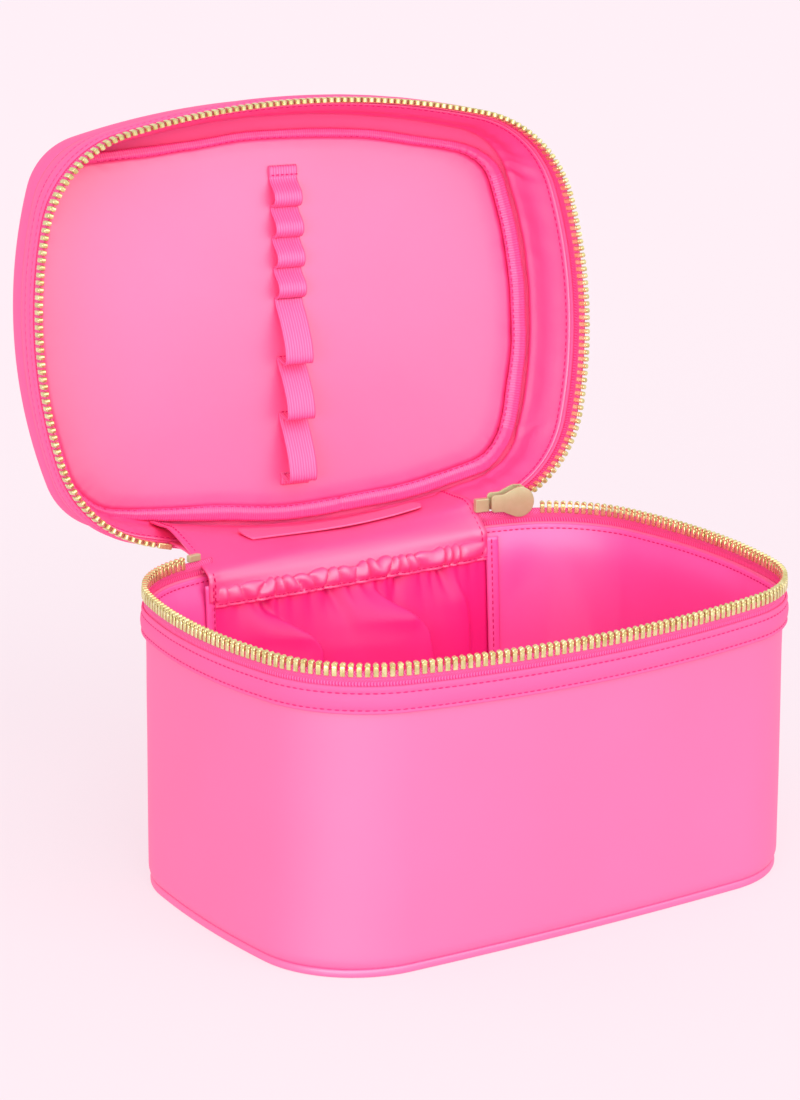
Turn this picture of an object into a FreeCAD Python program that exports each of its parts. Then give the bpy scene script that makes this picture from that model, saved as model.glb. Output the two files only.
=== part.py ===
import FreeCAD, Part
import math
import os

V = FreeCAD.Vector

# Overall form of the case, all in millimetres.
CHAIN_HEIGHT = 120.8       # middle of the lower row of zip teeth above the floor
RIM_SIZE = (244.2, 185.6)  # outside of the wall at the rim, along and across the hinge
BASE_SIZE = (242.8, 163.6)  # outside of the wall carried down to the floor
LID_TOP_SIZE = (234.0, 186.0)
RIM_RADII = (343.6, 202.6, 49.6)    # long sides, short sides, corners
BASE_RADII = (1600.0, 400.0, 44.0)
LID_TOP_RADII = (345.0, 204.0, 27.0)
LID_SAG = (-5.0, -2.0)     # the soft lid's top hangs this far left and forward
LID_HEIGHT = 44.0          # upper row of teeth to the outside of the lid
BASE_ROUND = 8.0           # rounding of the wall into the floor
LID_ROUND = 7.0

# Layers of the soft walls, counted inwards from the outer skin.
SKIN = 1.0
FOAM = 3.0
LINING = 0.6
BAND_THICK = 0.8
BAND_HEIGHT = 10.5
TAPE_THICK = 0.8
INSIDE = SKIN + FOAM
FACE = INSIDE + LINING
FOAM_SHORT = 2.0           # padding stops this far short of the skin's edge
LINING_SHORT = 1.0         # and the lining this far

# Zip.
TOOTH_LENGTH = 5.2
TOOTH_THICK = 2.4
TOOTH_WIDTH = 1.7
TOOTH_PITCH = 3.0
TIP_GAP = 1.6              # between the two rows of tips with the lid shut
TAPE_BARE = 0.5            # the tape ends this far short of the teeth's middle
TAPE_SHOWN = 3.6           # bare tape between the teeth and the band
TAPE_HIDDEN = 10.0         # tape sewn down between the wall and the band
SLOT_EASE = 0.3            # round the tape in each tooth's foot
EDGE_EASE = 0.05
ZIP_LEFT = -80.0           # the rows of teeth end here on the left
ZIP_RIGHT = 91.0           # and here on the right, past the parked slider
TAPE_LEFT = -66.0          # the tapes end here beside the hinge
TAPE_RIGHT = 62.0
STOP_LENGTH = 6.0
BLOCK_ROUND = 0.5
STOP_BITE = 0.3            # the stops reach this far past the teeth's middle
RETAINER = (6.4, 3.0, 5.5)  # along the row, thick, high

# Floor stack and welt.
WELT_HEIGHT = 3.5
WELT_INSET = 0.6
WELT_THICK = 3.0
WELT_ROUND = 1.3
BASE_SHEET = 1.0
BASE_FOAM = 2.5

# Lid stack, counted from the upper row of teeth.
LID_SEAM = 30.0            # where the lid's sides meet its top stack
LID_LAP = 3.0              # the lid's top skin turns this far down over its sides
LID_BOARD = 2.0
PANEL_EDGE = 1.2
PANEL_CROWN_RADIUS = 1400.0
PANEL_CROWN = 2.8
BINDING_WIDTH = 9.0
BINDING_HEIGHT = 4.5
BINDING_ROUND = 1.8
BINDING_EASE = 0.6         # between the binding and the side lining

# Hinge.
LID_OPEN = 97.18           # lean of the open lid
LID_SKEW = -9.38           # turn of the open lid on its soft hinge
HINGE_Y = 90.6
HINGE_Z = 115.25
HINGE_SPAN = (-68.5, 61.2)  # the inside cloth, from side to side
BACK_HALF = 62.0           # of the strip that closes the hinge outside
HINGE_CLOTH = 1.0
CLOTH_EASE = 0.4
HINGE_CREST = 2.2          # the cloth stands this far proud over the gap at the hinge
BACK_CREST = 3.0
HINGE_LAP = 2.0
PATCH_SIZE = (88.0, 7.0, 0.8)
PATCH_RISE = 4.0           # of the patch above the binding
PATCH_EASE = 0.6           # leaves the cloth room to swell under the patch

# Pocket.
POCKET_HALF = 65.5
POCKET_TOP = 109.5
CASING_HEIGHT = 8.4
POCKET_FLOOR = 14.0
POCKET_CLOTH = 1.0
CASING_THICK = 3.6
POCKET_FOLDS = 12
POCKET_SWELL = ((POCKET_FLOOR, 2.0, 0.7), (45.0, 10.0, 1.6), (75.0, 12.0, 2.4))
CASING_SWELL = (9.0, 1.8)  # stand-off from the wall and depth of the folds at the casing
CASING_FOLDS = 26
CASING_WAVE = 0.7
ELASTIC_SIZE = (5.0, 1.0)
CHANNEL_EASE = 0.4
SIDE_TAPE = (4.5, 1.6)
SIDE_TAPE_LAP = (4.0, 1.6)  # past the pocket at its foot and at its top

# Brush elastic: width, thickness, and where it is sewn down, from the hinge side.
STRIP_WIDTH = 12.7
STRIP_THICK = 1.0
SMALL_LOOP = 12.8
LARGE_LOOPS = (26.5, 23.6, 25.2)
SMALL_LOOPS = 4
STRIP_START = 29.0
STRIP_X = -4.5
SMALL_RISE = 6.8
LARGE_RISE = 11.0
STRIP_FOOT = 3.2
STRIP_END = 4.0

# Carry handle on the lid.
HANDLE_HALF = 50.0
HANDLE_FOOT = 20.0
HANDLE_WIDTH = 24.0
HANDLE_THICK = 3.2
HANDLE_RISE = 20.0
TAB_SIZE = (22.0, 29.0, 1.4)
TAB_ROUND = 0.6
TAB_LAP = 2.0

# Slider and pull.
SLIDER_X = 80.2
SLIDER_LENGTH = 18.0
SLIDER_HEAD = 12.0
SLIDER_NECK = 8.4
NECK_ROUND = 1.5
PLATE = 1.0
PLATE_GAP = 4.6
TAPE_SLOT = 2.5
SLIDER_SHIFT = -0.4        # sits this far inside the curved row of teeth
FLANGE = 0.55
POST = (5.0, 1.0)
CROWN_RISE = 3.2
CROWN_BAR = 1.2
CROWN_LENGTH = 12.0
CROWN_LEG = 1.4
LINK_HOLE = 1.8
LINK_WIRE = 0.8
LINK_LENGTH = 10.1
LINK_THICK = 1.6
LINK_EASE = 0.35
PULL_SIZE = (7.0, 29.0, 1.2)
PULL_HOLE = (3.2, 2.2)
PULL_EDGE = 1.3            # metal between the hole and the end of the tab
PULL_ROUND = 1.2

LID_Z = CHAIN_HEIGHT + TOOTH_LENGTH + TIP_GAP
PARTING_Z = CHAIN_HEIGHT + (TOOTH_LENGTH + TIP_GAP) / 2
BAND_START = TOOTH_LENGTH / 2 + TAPE_SHOWN
BAND_TOP = CHAIN_HEIGHT - BAND_START
TAPE_DEEP = BAND_START + TAPE_HIDDEN
CHAIN_OUT = TAPE_THICK / 2  # the row of teeth stands this far outside the wall
HINGE_POINT = V(0, HINGE_Y, HINGE_Z)
OPENING = FreeCAD.Rotation(V(0, 0, 1), LID_SKEW) * FreeCAD.Rotation(V(1, 0, 0), -LID_OPEN)
OPEN_POSE = FreeCAD.Placement(V(0, 0, 0), OPENING, HINGE_POINT)

PARTS = {}


def keep(name, shape):
    """Files a finished piece under its node name."""
    PARTS[name] = shape


def opened(shape):
    """Carries a piece of the shut lid to the open pose."""
    moved = shape.copy()
    moved.Placement = OPEN_POSE.multiply(moved.Placement)
    return moved


def lerp(a, b, share):
    return a + (b - a) * share


def arc(a, b, c):
    return Part.Arc(a, b, c).toShape()


def line(a, b):
    return Part.makeLine(a, b)


def box(x0, x1, y0, y1, z0, z1):
    return Part.makeBox(x1 - x0, y1 - y0, z1 - z0, V(x0, y0, z0))


def slab(low, high):
    """Flat slab that reaches past every outline."""
    reach = sum(RIM_SIZE)
    return box(-reach, reach, -reach, reach, low, high)


def only_solid(shape):
    """Returns the single solid of a boolean result."""
    return shape.Solids[0] if len(shape.Solids) == 1 else shape


class Outline:
    """Rounded rectangle with bowed sides, made of tangent arcs."""

    def __init__(self, size, radii, centre=(0.0, 0.0)):
        self.width, self.depth = size
        self.long_r, self.side_r, self.corner_r = radii
        self.x, self.y = centre

    def blend(self, other, share):
        """Outline part of the way from this one to another."""
        size = (lerp(self.width, other.width, share), lerp(self.depth, other.depth, share))
        radii = (lerp(self.long_r, other.long_r, share), lerp(self.side_r, other.side_r, share),
                 lerp(self.corner_r, other.corner_r, share))
        centre = (lerp(self.x, other.x, share), lerp(self.y, other.y, share))
        return Outline(size, radii, centre)

    def centres(self):
        """Centres of the back arc, the right arc and the corner arc between them."""
        back = V(0, self.depth / 2 - self.long_r, 0)
        right = V(self.width / 2 - self.side_r, 0, 0)
        ra = self.long_r - self.corner_r
        rb = self.side_r - self.corner_r
        way = right - back
        gap = way.Length
        along = (ra * ra - rb * rb + gap * gap) / (2 * gap)
        off = math.sqrt(ra * ra - along * along)
        way.normalize()
        corner = back + way * along + V(way.y, -way.x, 0) * off
        return back, right, corner

    def points(self, grow):
        """Corner-arc ends and middle in the back right quarter."""
        back, right, corner = self.centres()
        first = corner - back
        first.normalize()
        second = corner - right
        second.normalize()
        middle = first + second
        middle.normalize()
        return (back + first * (self.long_r + grow), corner + middle * (self.corner_r + grow),
                right + second * (self.side_r + grow))

    def back_y(self, x, grow):
        """Where the back side stands at a given x."""
        reach = self.long_r + grow
        side = x - self.x
        return self.y + self.depth / 2 - self.long_r + math.sqrt(reach * reach - side * side)

    def wire(self, z, grow=0.0):
        """Closed wire from the back middle, first towards the right."""
        start, bend, end = self.points(grow)
        mid = V(start.x / 2, self.back_y(self.x + start.x / 2, grow) - self.y, 0)

        def at(p, sx, sy):
            return V(self.x + p.x * sx, self.y + p.y * sy, z)

        back = V(self.x, self.y + self.depth / 2 + grow, z)
        front = V(self.x, self.y - self.depth / 2 - grow, z)
        right = V(self.x + self.width / 2 + grow, self.y, z)
        left = V(self.x - self.width / 2 - grow, self.y, z)
        edges = [
            arc(back, at(mid, 1, 1), at(start, 1, 1)),
            arc(at(start, 1, 1), at(bend, 1, 1), at(end, 1, 1)),
            arc(at(end, 1, 1), right, at(end, 1, -1)),
            arc(at(end, 1, -1), at(bend, 1, -1), at(start, 1, -1)),
            arc(at(start, 1, -1), front, at(start, -1, -1)),
            arc(at(start, -1, -1), at(bend, -1, -1), at(end, -1, -1)),
            arc(at(end, -1, -1), left, at(end, -1, 1)),
            arc(at(end, -1, 1), at(bend, -1, 1), at(start, -1, 1)),
            arc(at(start, -1, 1), at(mid, -1, 1), back),
        ]
        return Part.Wire(edges)


RIM = Outline(RIM_SIZE, RIM_RADII)
BASE = Outline(BASE_SIZE, BASE_RADII)
LID_TOP = Outline(LID_TOP_SIZE, LID_TOP_RADII, LID_SAG)
PANEL = RIM.blend(LID_TOP, LID_SEAM / LID_HEIGHT)


def rim_edges(solid, z):
    """Edges of a solid that lie flat at one height."""
    return [e for e in solid.Edges if all(abs(v.Z - z) < 1e-4 for v in e.Vertexes)]


def tub(grow):
    """Solid inside of the body at one layer of the wall, rounded into the floor."""
    low = -grow
    foot = BASE.blend(RIM, low / CHAIN_HEIGHT)
    loft = Part.makeLoft([foot.wire(low, grow), RIM.wire(CHAIN_HEIGHT, grow)], True, True)
    return loft.makeFillet(BASE_ROUND + grow, rim_edges(loft, low))


def dome(grow, rounded=False):
    """Solid inside of the shut lid at one layer, from a little under its row of teeth."""
    low = -TOOTH_LENGTH / 2
    high = LID_HEIGHT + grow
    mouth = RIM.blend(LID_TOP, low / LID_HEIGHT)
    crest = RIM.blend(LID_TOP, high / LID_HEIGHT)
    loft = Part.makeLoft([mouth.wire(LID_Z + low, grow), crest.wire(LID_Z + high, grow)], True, True)
    if not rounded:
        return loft
    return loft.makeFillet(LID_ROUND + grow, rim_edges(loft, LID_Z + high))


def ring(outer, inner, low, high):
    return only_solid(outer.cut(inner).common(slab(low, high)))


def back_gap(left, right, low, high):
    """Block that takes a piece of the rim away along the hinge."""
    half = RIM.depth / 2
    return box(left, right, half * 0.6, half * 1.3, low, high)


def make_body():
    """Walls, floor and rim of the body."""
    skin_out = tub(0.0)
    skin_in = tub(-SKIN)
    foam_in = tub(-INSIDE)
    face = tub(-FACE)
    tape_out = tub(TAPE_THICK)
    band_out = tub(TAPE_THICK + BAND_THICK)
    floor = WELT_HEIGHT + BASE_FOAM
    keep("body_wall", ring(skin_out, skin_in, WELT_HEIGHT, BAND_TOP))
    keep("body_rim_band", ring(band_out, tape_out, BAND_TOP - BAND_HEIGHT, BAND_TOP))
    keep("body_foam", ring(skin_in, foam_in, floor, BAND_TOP - FOAM_SHORT))
    keep("body_lining", ring(foam_in, face, floor + LINING, BAND_TOP - LINING_SHORT))
    tape = ring(tape_out, skin_out, CHAIN_HEIGHT - TAPE_DEEP, CHAIN_HEIGHT - TAPE_BARE)
    gap = back_gap(TAPE_LEFT, TAPE_RIGHT, BAND_TOP, CHAIN_HEIGHT)
    keep("body_zip_tape", only_solid(tape.cut(gap)))
    keep("base_foam", only_solid(skin_in.common(slab(WELT_HEIGHT, floor))))
    keep("base_lining", only_solid(foam_in.common(slab(floor, floor + LINING))))
    foot = BASE.wire(0, -WELT_INSET)
    heel = BASE.wire(0, -WELT_INSET - WELT_THICK)
    welt = Part.Face(foot).extrude(V(0, 0, WELT_HEIGHT))
    welt = welt.makeFillet(WELT_ROUND, rim_edges(welt, 0) + rim_edges(welt, WELT_HEIGHT))
    core = Part.Face(heel).extrude(V(0, 0, WELT_HEIGHT))
    keep("base_piping", only_solid(welt.cut(core)))
    keep("base_panel", only_solid(core.common(slab(0, BASE_SHEET))))
    keep("base_board", only_solid(core.common(slab(BASE_SHEET, WELT_HEIGHT))))


def tooth(up):
    """One zip tooth about the middle of its row, its head pointing up or down."""
    half = TOOTH_WIDTH / 2
    head = half * 0.76
    tip = TOOTH_LENGTH / 2
    profile = [(-half, -tip), (half, -tip), (half, 0.2), (head, 0.9), (head, tip - 0.45),
               (head / 2, tip), (-head / 2, tip), (-head, tip - 0.45), (-head, 0.9), (-half, 0.2)]
    pts = [V(t, -TOOTH_THICK / 2, z * up) for t, z in profile]
    solid = Part.Face(Part.makePolygon(pts + pts[:1])).extrude(V(0, TOOTH_THICK, 0))
    slot = TAPE_THICK / 2 + SLOT_EASE
    low, high = sorted((-tip * up * 1.1, -0.1 * tip * up))
    return solid.cut(box(-half - 1, half + 1, -slot, slot, low, high))


def along(edge, share):
    """Point and direction at a share of an edge's length, in its wire's order."""
    back = edge.Orientation == "Reversed"
    place = edge.getParameterByLength(edge.Length * (1 - share if back else share))
    way = edge.tangentAt(place)
    return edge.valueAt(place), way * -1 if back else way


def stations(edges, pitch, start):
    """Edge number and share of its length at an even pitch along a wire's edges."""
    found = []
    ahead = start
    for number, edge in enumerate(edges):
        while ahead < edge.Length:
            found.append((number, ahead / edge.Length))
            ahead += pitch
        ahead -= edge.Length
    return found


def at_back(point):
    """Whether a point of the rim lies on its back stretch."""
    return point.y > RIM.depth / 3


def stand(point, way):
    """Placement with x along the row, y outwards and z up."""
    out = V(-way.y, way.x, 0)
    return FreeCAD.Placement(point, FreeCAD.Rotation(way, out, V(0, 0, 1)))


def row(z, up, start, far, rise):
    """One row of teeth round the rim, clear of the hinge and the slider.

    Each tooth leans with the cloth that runs from the rim to the far outline.
    """
    one = tooth(up)
    near = RIM.wire(z, CHAIN_OUT).OrderedEdges
    ends = far.wire(z, CHAIN_OUT).OrderedEdges
    teeth = []
    for number, share in stations(near, TOOTH_PITCH, start):
        point, way = along(near[number], share)
        if at_back(point) and ZIP_LEFT < point.x < ZIP_RIGHT:
            continue
        reach = along(ends[number], share)[0] - point
        slope = (reach.y * way.x - reach.x * way.y) / rise
        tilt = FreeCAD.Rotation(V(1, 0, 0), -math.degrees(math.atan(slope)))
        copy = one.copy()
        copy.Placement = stand(point, way).multiply(FreeCAD.Placement(V(0, 0, 0), tilt))
        teeth.append(copy)
    return Part.makeCompound(teeth)


def on_chain(x, z):
    """Placement on the back right stretch of the row at a given x."""
    edges = RIM.wire(z, CHAIN_OUT).OrderedEdges
    spots = [along(edges[number], share) for number, share in stations(edges, 0.1, 0.0)]
    point, way = min((s for s in spots if at_back(s[0])), key=lambda s: abs(s[0].x - x))
    return stand(point, way)


def block(length, thick, low, high, x, z):
    """Small metal block that stands on the row of teeth."""
    shape = box(-length / 2, length / 2, -thick / 2, thick / 2, low, high)
    shape = shape.makeFillet(BLOCK_ROUND, shape.Edges)
    shape.Placement = on_chain(x, z)
    return shape


def make_zip():
    """Teeth, end stops and the retainer box."""
    keep("body_zip_teeth", row(CHAIN_HEIGHT, 1, TOOTH_PITCH / 2, BASE, -CHAIN_HEIGHT))
    keep("lid_zip_teeth", opened(row(LID_Z, -1, TOOTH_PITCH, LID_TOP, LID_HEIGHT)))
    stop = TOOTH_LENGTH / 2
    x = ZIP_LEFT + STOP_LENGTH * 0.75
    keep("body_zip_stop", block(STOP_LENGTH, TOOTH_THICK, -STOP_BITE, stop, x, CHAIN_HEIGHT))
    keep("lid_zip_stop", opened(block(STOP_LENGTH, TOOTH_THICK, -stop, STOP_BITE, x, LID_Z)))
    long, thick, tall = RETAINER
    keep("zip_retainer", block(long, thick, -STOP_BITE, tall, TAPE_RIGHT + long * 0.72, CHAIN_HEIGHT))


def make_lid():
    """Skin, padding, lining and inside panel of the lid."""
    skin_out = dome(0.0, True)
    skin_in = dome(-SKIN, True)
    wall_in = dome(-SKIN)
    foam_in = dome(-INSIDE)
    face = dome(-FACE)
    seam = LID_Z + LID_SEAM
    start = LID_Z + BAND_START
    under = LID_Z + LID_HEIGHT - SKIN
    keep("lid_wall", opened(ring(dome(0.0), wall_in, start, seam - LID_LAP)))
    keep("lid_top", opened(ring(skin_out, skin_in, seam - LID_LAP, under + SKIN)))
    tape_out = dome(TAPE_THICK)
    band_out = dome(TAPE_THICK + BAND_THICK)
    keep("lid_rim_band", opened(ring(band_out, tape_out, start, start + BAND_HEIGHT)))
    tape = ring(tape_out, dome(0.0), LID_Z + TAPE_BARE, LID_Z + TAPE_DEEP)
    gap = back_gap(TAPE_LEFT, ZIP_RIGHT + 1, LID_Z, start)
    keep("lid_zip_tape", opened(only_solid(tape.cut(gap))))
    keep("lid_wall_foam", opened(ring(wall_in, foam_in, start + FOAM_SHORT, seam)))
    keep("lid_wall_lining", opened(ring(foam_in, face, start + LINING_SHORT, seam)))
    keep("lid_board", opened(only_solid(skin_in.common(slab(under - LID_BOARD, under)))))
    keep("lid_foam", opened(only_solid(skin_in.common(slab(seam, under - LID_BOARD)))))
    outer = -FACE - BINDING_EASE
    inner = outer - BINDING_WIDTH
    bound = Part.Face(PANEL.wire(seam - BINDING_HEIGHT, outer)).extrude(V(0, 0, BINDING_HEIGHT))
    hole = Part.Face(PANEL.wire(seam - BINDING_HEIGHT, inner)).extrude(V(0, 0, BINDING_HEIGHT))
    frame = bound.cut(hole)
    lips = rim_edges(frame, seam - BINDING_HEIGHT)
    keep("lid_binding", opened(only_solid(frame.makeFillet(BINDING_ROUND, lips))))
    keep("lid_panel", opened(padded_panel(PANEL.wire(seam - BINDING_HEIGHT, inner), seam)))


def padded_panel(wire, seam):
    """Inside panel of the lid with its cushion crown."""
    pad = Part.Face(wire).extrude(V(0, 0, BINDING_HEIGHT))
    ball = Part.makeSphere(PANEL_CROWN_RADIUS)
    ball.translate(V(PANEL.x, PANEL.y, seam - PANEL_EDGE - PANEL_CROWN + PANEL_CROWN_RADIUS))
    return only_solid(pad.common(ball))


def panel_z(y):
    """Face of the shut lid's inside panel along its middle."""
    off = y - PANEL.y
    sag = PANEL_CROWN_RADIUS - math.sqrt(PANEL_CROWN_RADIUS ** 2 - off * off)
    return LID_Z + LID_SEAM - PANEL_EDGE - PANEL_CROWN + sag - EDGE_EASE


def make_elastic():
    """Brush elastic: arches between rows of stitches, large ones towards the hinge."""
    spans = list(LARGE_LOOPS) + [SMALL_LOOP] * SMALL_LOOPS
    left = STRIP_X - STRIP_WIDTH / 2
    strip = None
    y = RIM.depth / 2 + CHAIN_OUT - STRIP_START
    feet = [y]
    for span in spans:
        rise = LARGE_RISE if span > SMALL_LOOP else SMALL_RISE
        a = V(left, y, panel_z(y))
        b = V(left, y - span, panel_z(y - span))
        top = V(left, y - span / 2, panel_z(y - span / 2) - rise)
        lift = V(0, 0, STRIP_THICK)
        inset = V(0, STRIP_THICK * 1.3, 0)
        edges = [arc(a, top, b), line(b, b + inset), arc(b + inset, top + lift, a - inset),
                 line(a - inset, a)]
        arch = Part.Face(Part.Wire(edges)).extrude(V(STRIP_WIDTH, 0, 0))
        strip = arch if strip is None else strip.fuse(arch)
        y -= span
        feet.append(y)
    for i, y in enumerate(feet):
        reach = STRIP_FOOT / 2
        ends = (STRIP_END if i == len(spans) else reach, STRIP_END if i == 0 else reach)
        foot = box(left, left + STRIP_WIDTH, y - ends[0], y + ends[1], panel_z(y) - STRIP_THICK, panel_z(y))
        strip = strip.fuse(foot)
    keep("brush_elastic", opened(only_solid(strip.removeSplitter())))


def section(points, away, near, far):
    """Thin bowed section: three points and the way its thickness goes."""
    inner = [p + away * near for p in points]
    outer = [p + away * far for p in points]
    edges = [arc(*inner), line(inner[2], outer[2]), arc(outer[2], outer[1], outer[0]),
             line(outer[0], inner[0])]
    return Part.Wire(edges)


def body_back(x, z, inset):
    """Point on the back wall of the body at one layer."""
    share = z / CHAIN_HEIGHT
    return V(x, lerp(BASE.back_y(x, -inset), RIM.back_y(x, -inset), share), z)


def lid_back(x, w, inset):
    """Point on the back wall of the open lid at one layer and depth."""
    share = w / LID_HEIGHT
    y = lerp(RIM.back_y(x, -inset), LID_TOP.back_y(x, -inset), share)
    return OPEN_POSE.multVec(V(x, y, LID_Z + w))


def make_hinge():
    """Cloth that joins the body and the lid, in the open pose."""
    left, right = HINGE_SPAN
    spread = (left, (left + right) / 2, right)
    inward = V(0, -1, 0)
    lidward = OPENING.multVec(V(0, -1, 0))
    low = [body_back(x, POCKET_TOP + HINGE_LAP, FACE) for x in spread]
    top = [body_back(x, CHAIN_HEIGHT - HINGE_LAP, FACE) for x in spread]
    near = [lid_back(x, BAND_START + 1, FACE) for x in spread]
    deep = [lid_back(x, LID_SEAM - BINDING_HEIGHT - 1, FACE) for x in spread]
    over = inward + lidward
    over.normalize()
    crest = [(a + b) * 0.5 + over * HINGE_CREST for a, b in zip(top, near)]
    ways = [(low, inward), (top, inward), (crest, over), (near, lidward), (deep, lidward)]
    wires = [section(pts, way, CLOTH_EASE, CLOTH_EASE + HINGE_CLOTH) for pts, way in ways]
    keep("hinge_panel", Part.makeLoft(wires, True, False))
    spread = (-BACK_HALF, 0.0, BACK_HALF)
    foot = [body_back(x, BAND_TOP + 2 * EDGE_EASE, 0) for x in spread]
    edge = [lid_back(x, BAND_START - 2 * EDGE_EASE, 0) for x in spread]
    rise = [(a + b) * 0.5 + over * BACK_CREST for a, b in zip(foot, edge)]
    ways = [(foot, inward), (rise, over), (edge, lidward)]
    wires = [section(pts, way, 0.0, SKIN) for pts, way in ways]
    keep("hinge_outer", Part.makeLoft(wires, True, False))
    long, wide, thick = PATCH_SIZE
    depth = LID_SEAM - BINDING_HEIGHT - PATCH_RISE
    inset = FACE + CLOTH_EASE + HINGE_CLOTH + PATCH_EASE
    flat = [section([lid_back(x, w, inset) for x in (-long / 2, 0, long / 2)], lidward, 0.0, thick)
            for w in (depth - wide, depth)]
    keep("hinge_patch", Part.makeLoft(flat, True, True))


def stand_off(x, bulge):
    """How far the pocket stands from the wall."""
    return CLOTH_EASE + bulge * (1 - (x / POCKET_HALF) ** 2)


def folded(z, bulge, folds, wave, thick):
    """Wavy closed section of gathered cloth at one height."""
    fronts = []
    step = 2 * POCKET_HALF / folds
    for i in range(2 * folds + 1):
        x = -POCKET_HALF + i * step / 2
        swell = 0.0 if i % 2 == 0 else wave * (1 if i % 4 == 1 else -0.6)
        base = body_back(x, z, FACE)
        fronts.append(base - V(0, stand_off(x, bulge) + thick + swell, 0))
    backs = [p + V(0, thick, 0) for p in fronts]
    edges = [arc(*fronts[i:i + 3]) for i in range(0, 2 * folds, 2)]
    edges.append(line(fronts[-1], backs[-1]))
    backs.reverse()
    edges += [arc(*backs[i:i + 3]) for i in range(0, 2 * folds, 2)]
    edges.append(line(backs[-1], fronts[0]))
    return Part.Wire(edges)


def strip_section(z, bulge, ahead, thick, half):
    """Smooth bowed section of the elastic inside the casing."""
    points = [body_back(x, z, FACE) - V(0, stand_off(x, bulge), 0) for x in (-half, 0, half)]
    return section(points, V(0, -1, 0), ahead, ahead + thick)


def make_pocket():
    """Gathered pocket, its casing with the elastic, and the tapes at its sides."""
    casing_low = POCKET_TOP - CASING_HEIGHT
    rim, fold = CASING_SWELL
    bulges = POCKET_SWELL + ((casing_low, rim, fold),)
    cloth = [folded(z, bulge, POCKET_FOLDS, wave, POCKET_CLOTH) for z, bulge, wave in bulges]
    keep("pocket_panel", Part.makeLoft(cloth, True, False))
    hem = [folded(z, rim, CASING_FOLDS, CASING_WAVE, CASING_THICK) for z in (casing_low, POCKET_TOP)]
    casing = Part.makeLoft(hem, True, True)
    high, thick = ELASTIC_SIZE
    middle = casing_low + CASING_HEIGHT / 2
    ahead = (CASING_THICK - thick) / 2
    spans = (middle - high / 2, middle + high / 2)
    room = [strip_section(z, rim, ahead - CHANNEL_EASE, thick + 2 * CHANNEL_EASE, POCKET_HALF - 1)
            for z in (spans[0] - CHANNEL_EASE, spans[1] + CHANNEL_EASE)]
    band = [strip_section(z, rim, ahead, thick, POCKET_HALF - 1.4) for z in spans]
    keep("pocket_casing", only_solid(casing.cut(Part.makeLoft(room, True, True))))
    keep("pocket_elastic", Part.makeLoft(band, True, True))
    wide, deep = SIDE_TAPE
    below, above = SIDE_TAPE_LAP
    shell = tub(-FACE - EDGE_EASE).cut(tub(-FACE - deep))
    for name, x in (("left", -POCKET_HALF - wide), ("right", POCKET_HALF)):
        strip = shell.common(box(x, x + wide, 0, RIM.depth, POCKET_FLOOR - below, POCKET_TOP + above))
        keep("pocket_tape_" + name, only_solid(strip))


def make_handle():
    """Carry strap on the lid and the tabs that hold its ends."""
    top = LID_Z + LID_HEIGHT
    half = HANDLE_WIDTH / 2

    def path(lift):
        """Points of one face of the strap, from end to end."""
        ends = HANDLE_HALF + HANDLE_FOOT
        low = top + lift
        bend = low + HANDLE_RISE * 0.22
        knee = HANDLE_HALF * 0.66
        return [V(-ends, -half, low), V(-HANDLE_HALF, -half, low),
                V(-HANDLE_HALF * 0.84, -half, low + HANDLE_RISE * 0.1), V(-knee, -half, bend + 3.0),
                V(0, -half, low + HANDLE_RISE), V(knee, -half, bend + 3.0),
                V(HANDLE_HALF * 0.84, -half, low + HANDLE_RISE * 0.1), V(HANDLE_HALF, -half, low),
                V(ends, -half, low)]

    low = path(0.0)
    high = path(HANDLE_THICK)
    edges = []
    for pts in (low, high):
        edges += [line(pts[0], pts[1]), arc(*pts[1:4]), arc(*pts[3:6]), arc(*pts[5:8]),
                  line(pts[7], pts[8])]
    edges += [line(low[0], high[0]), line(low[-1], high[-1])]
    strap = Part.Face(Part.Wire(Part.__sortEdges__(edges))).extrude(V(0, HANDLE_WIDTH, 0))
    middle = V(LID_TOP.x, LID_TOP.y, 0)
    strap.translate(middle)
    keep("carry_handle", opened(strap))
    long, wide, thick = TAB_SIZE
    tabs = []
    reach = HANDLE_HALF + HANDLE_FOOT + long
    for side in (-1, 1):
        x = side * (HANDLE_HALF + HANDLE_FOOT - long / 2 + TAB_LAP)
        tab = box(x - long / 2, x + long / 2, -wide / 2, wide / 2, top, top + HANDLE_THICK + thick)
        strip = box(-reach, reach, -half, half, top - 1, top + HANDLE_THICK)
        tab = tab.makeFillet(TAB_ROUND, rim_edges(tab, top + HANDLE_THICK + thick)).cut(strip)
        tab.translate(middle)
        tabs.append(opened(tab))
    keep("handle_tabs", Part.makeCompound(tabs))


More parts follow.
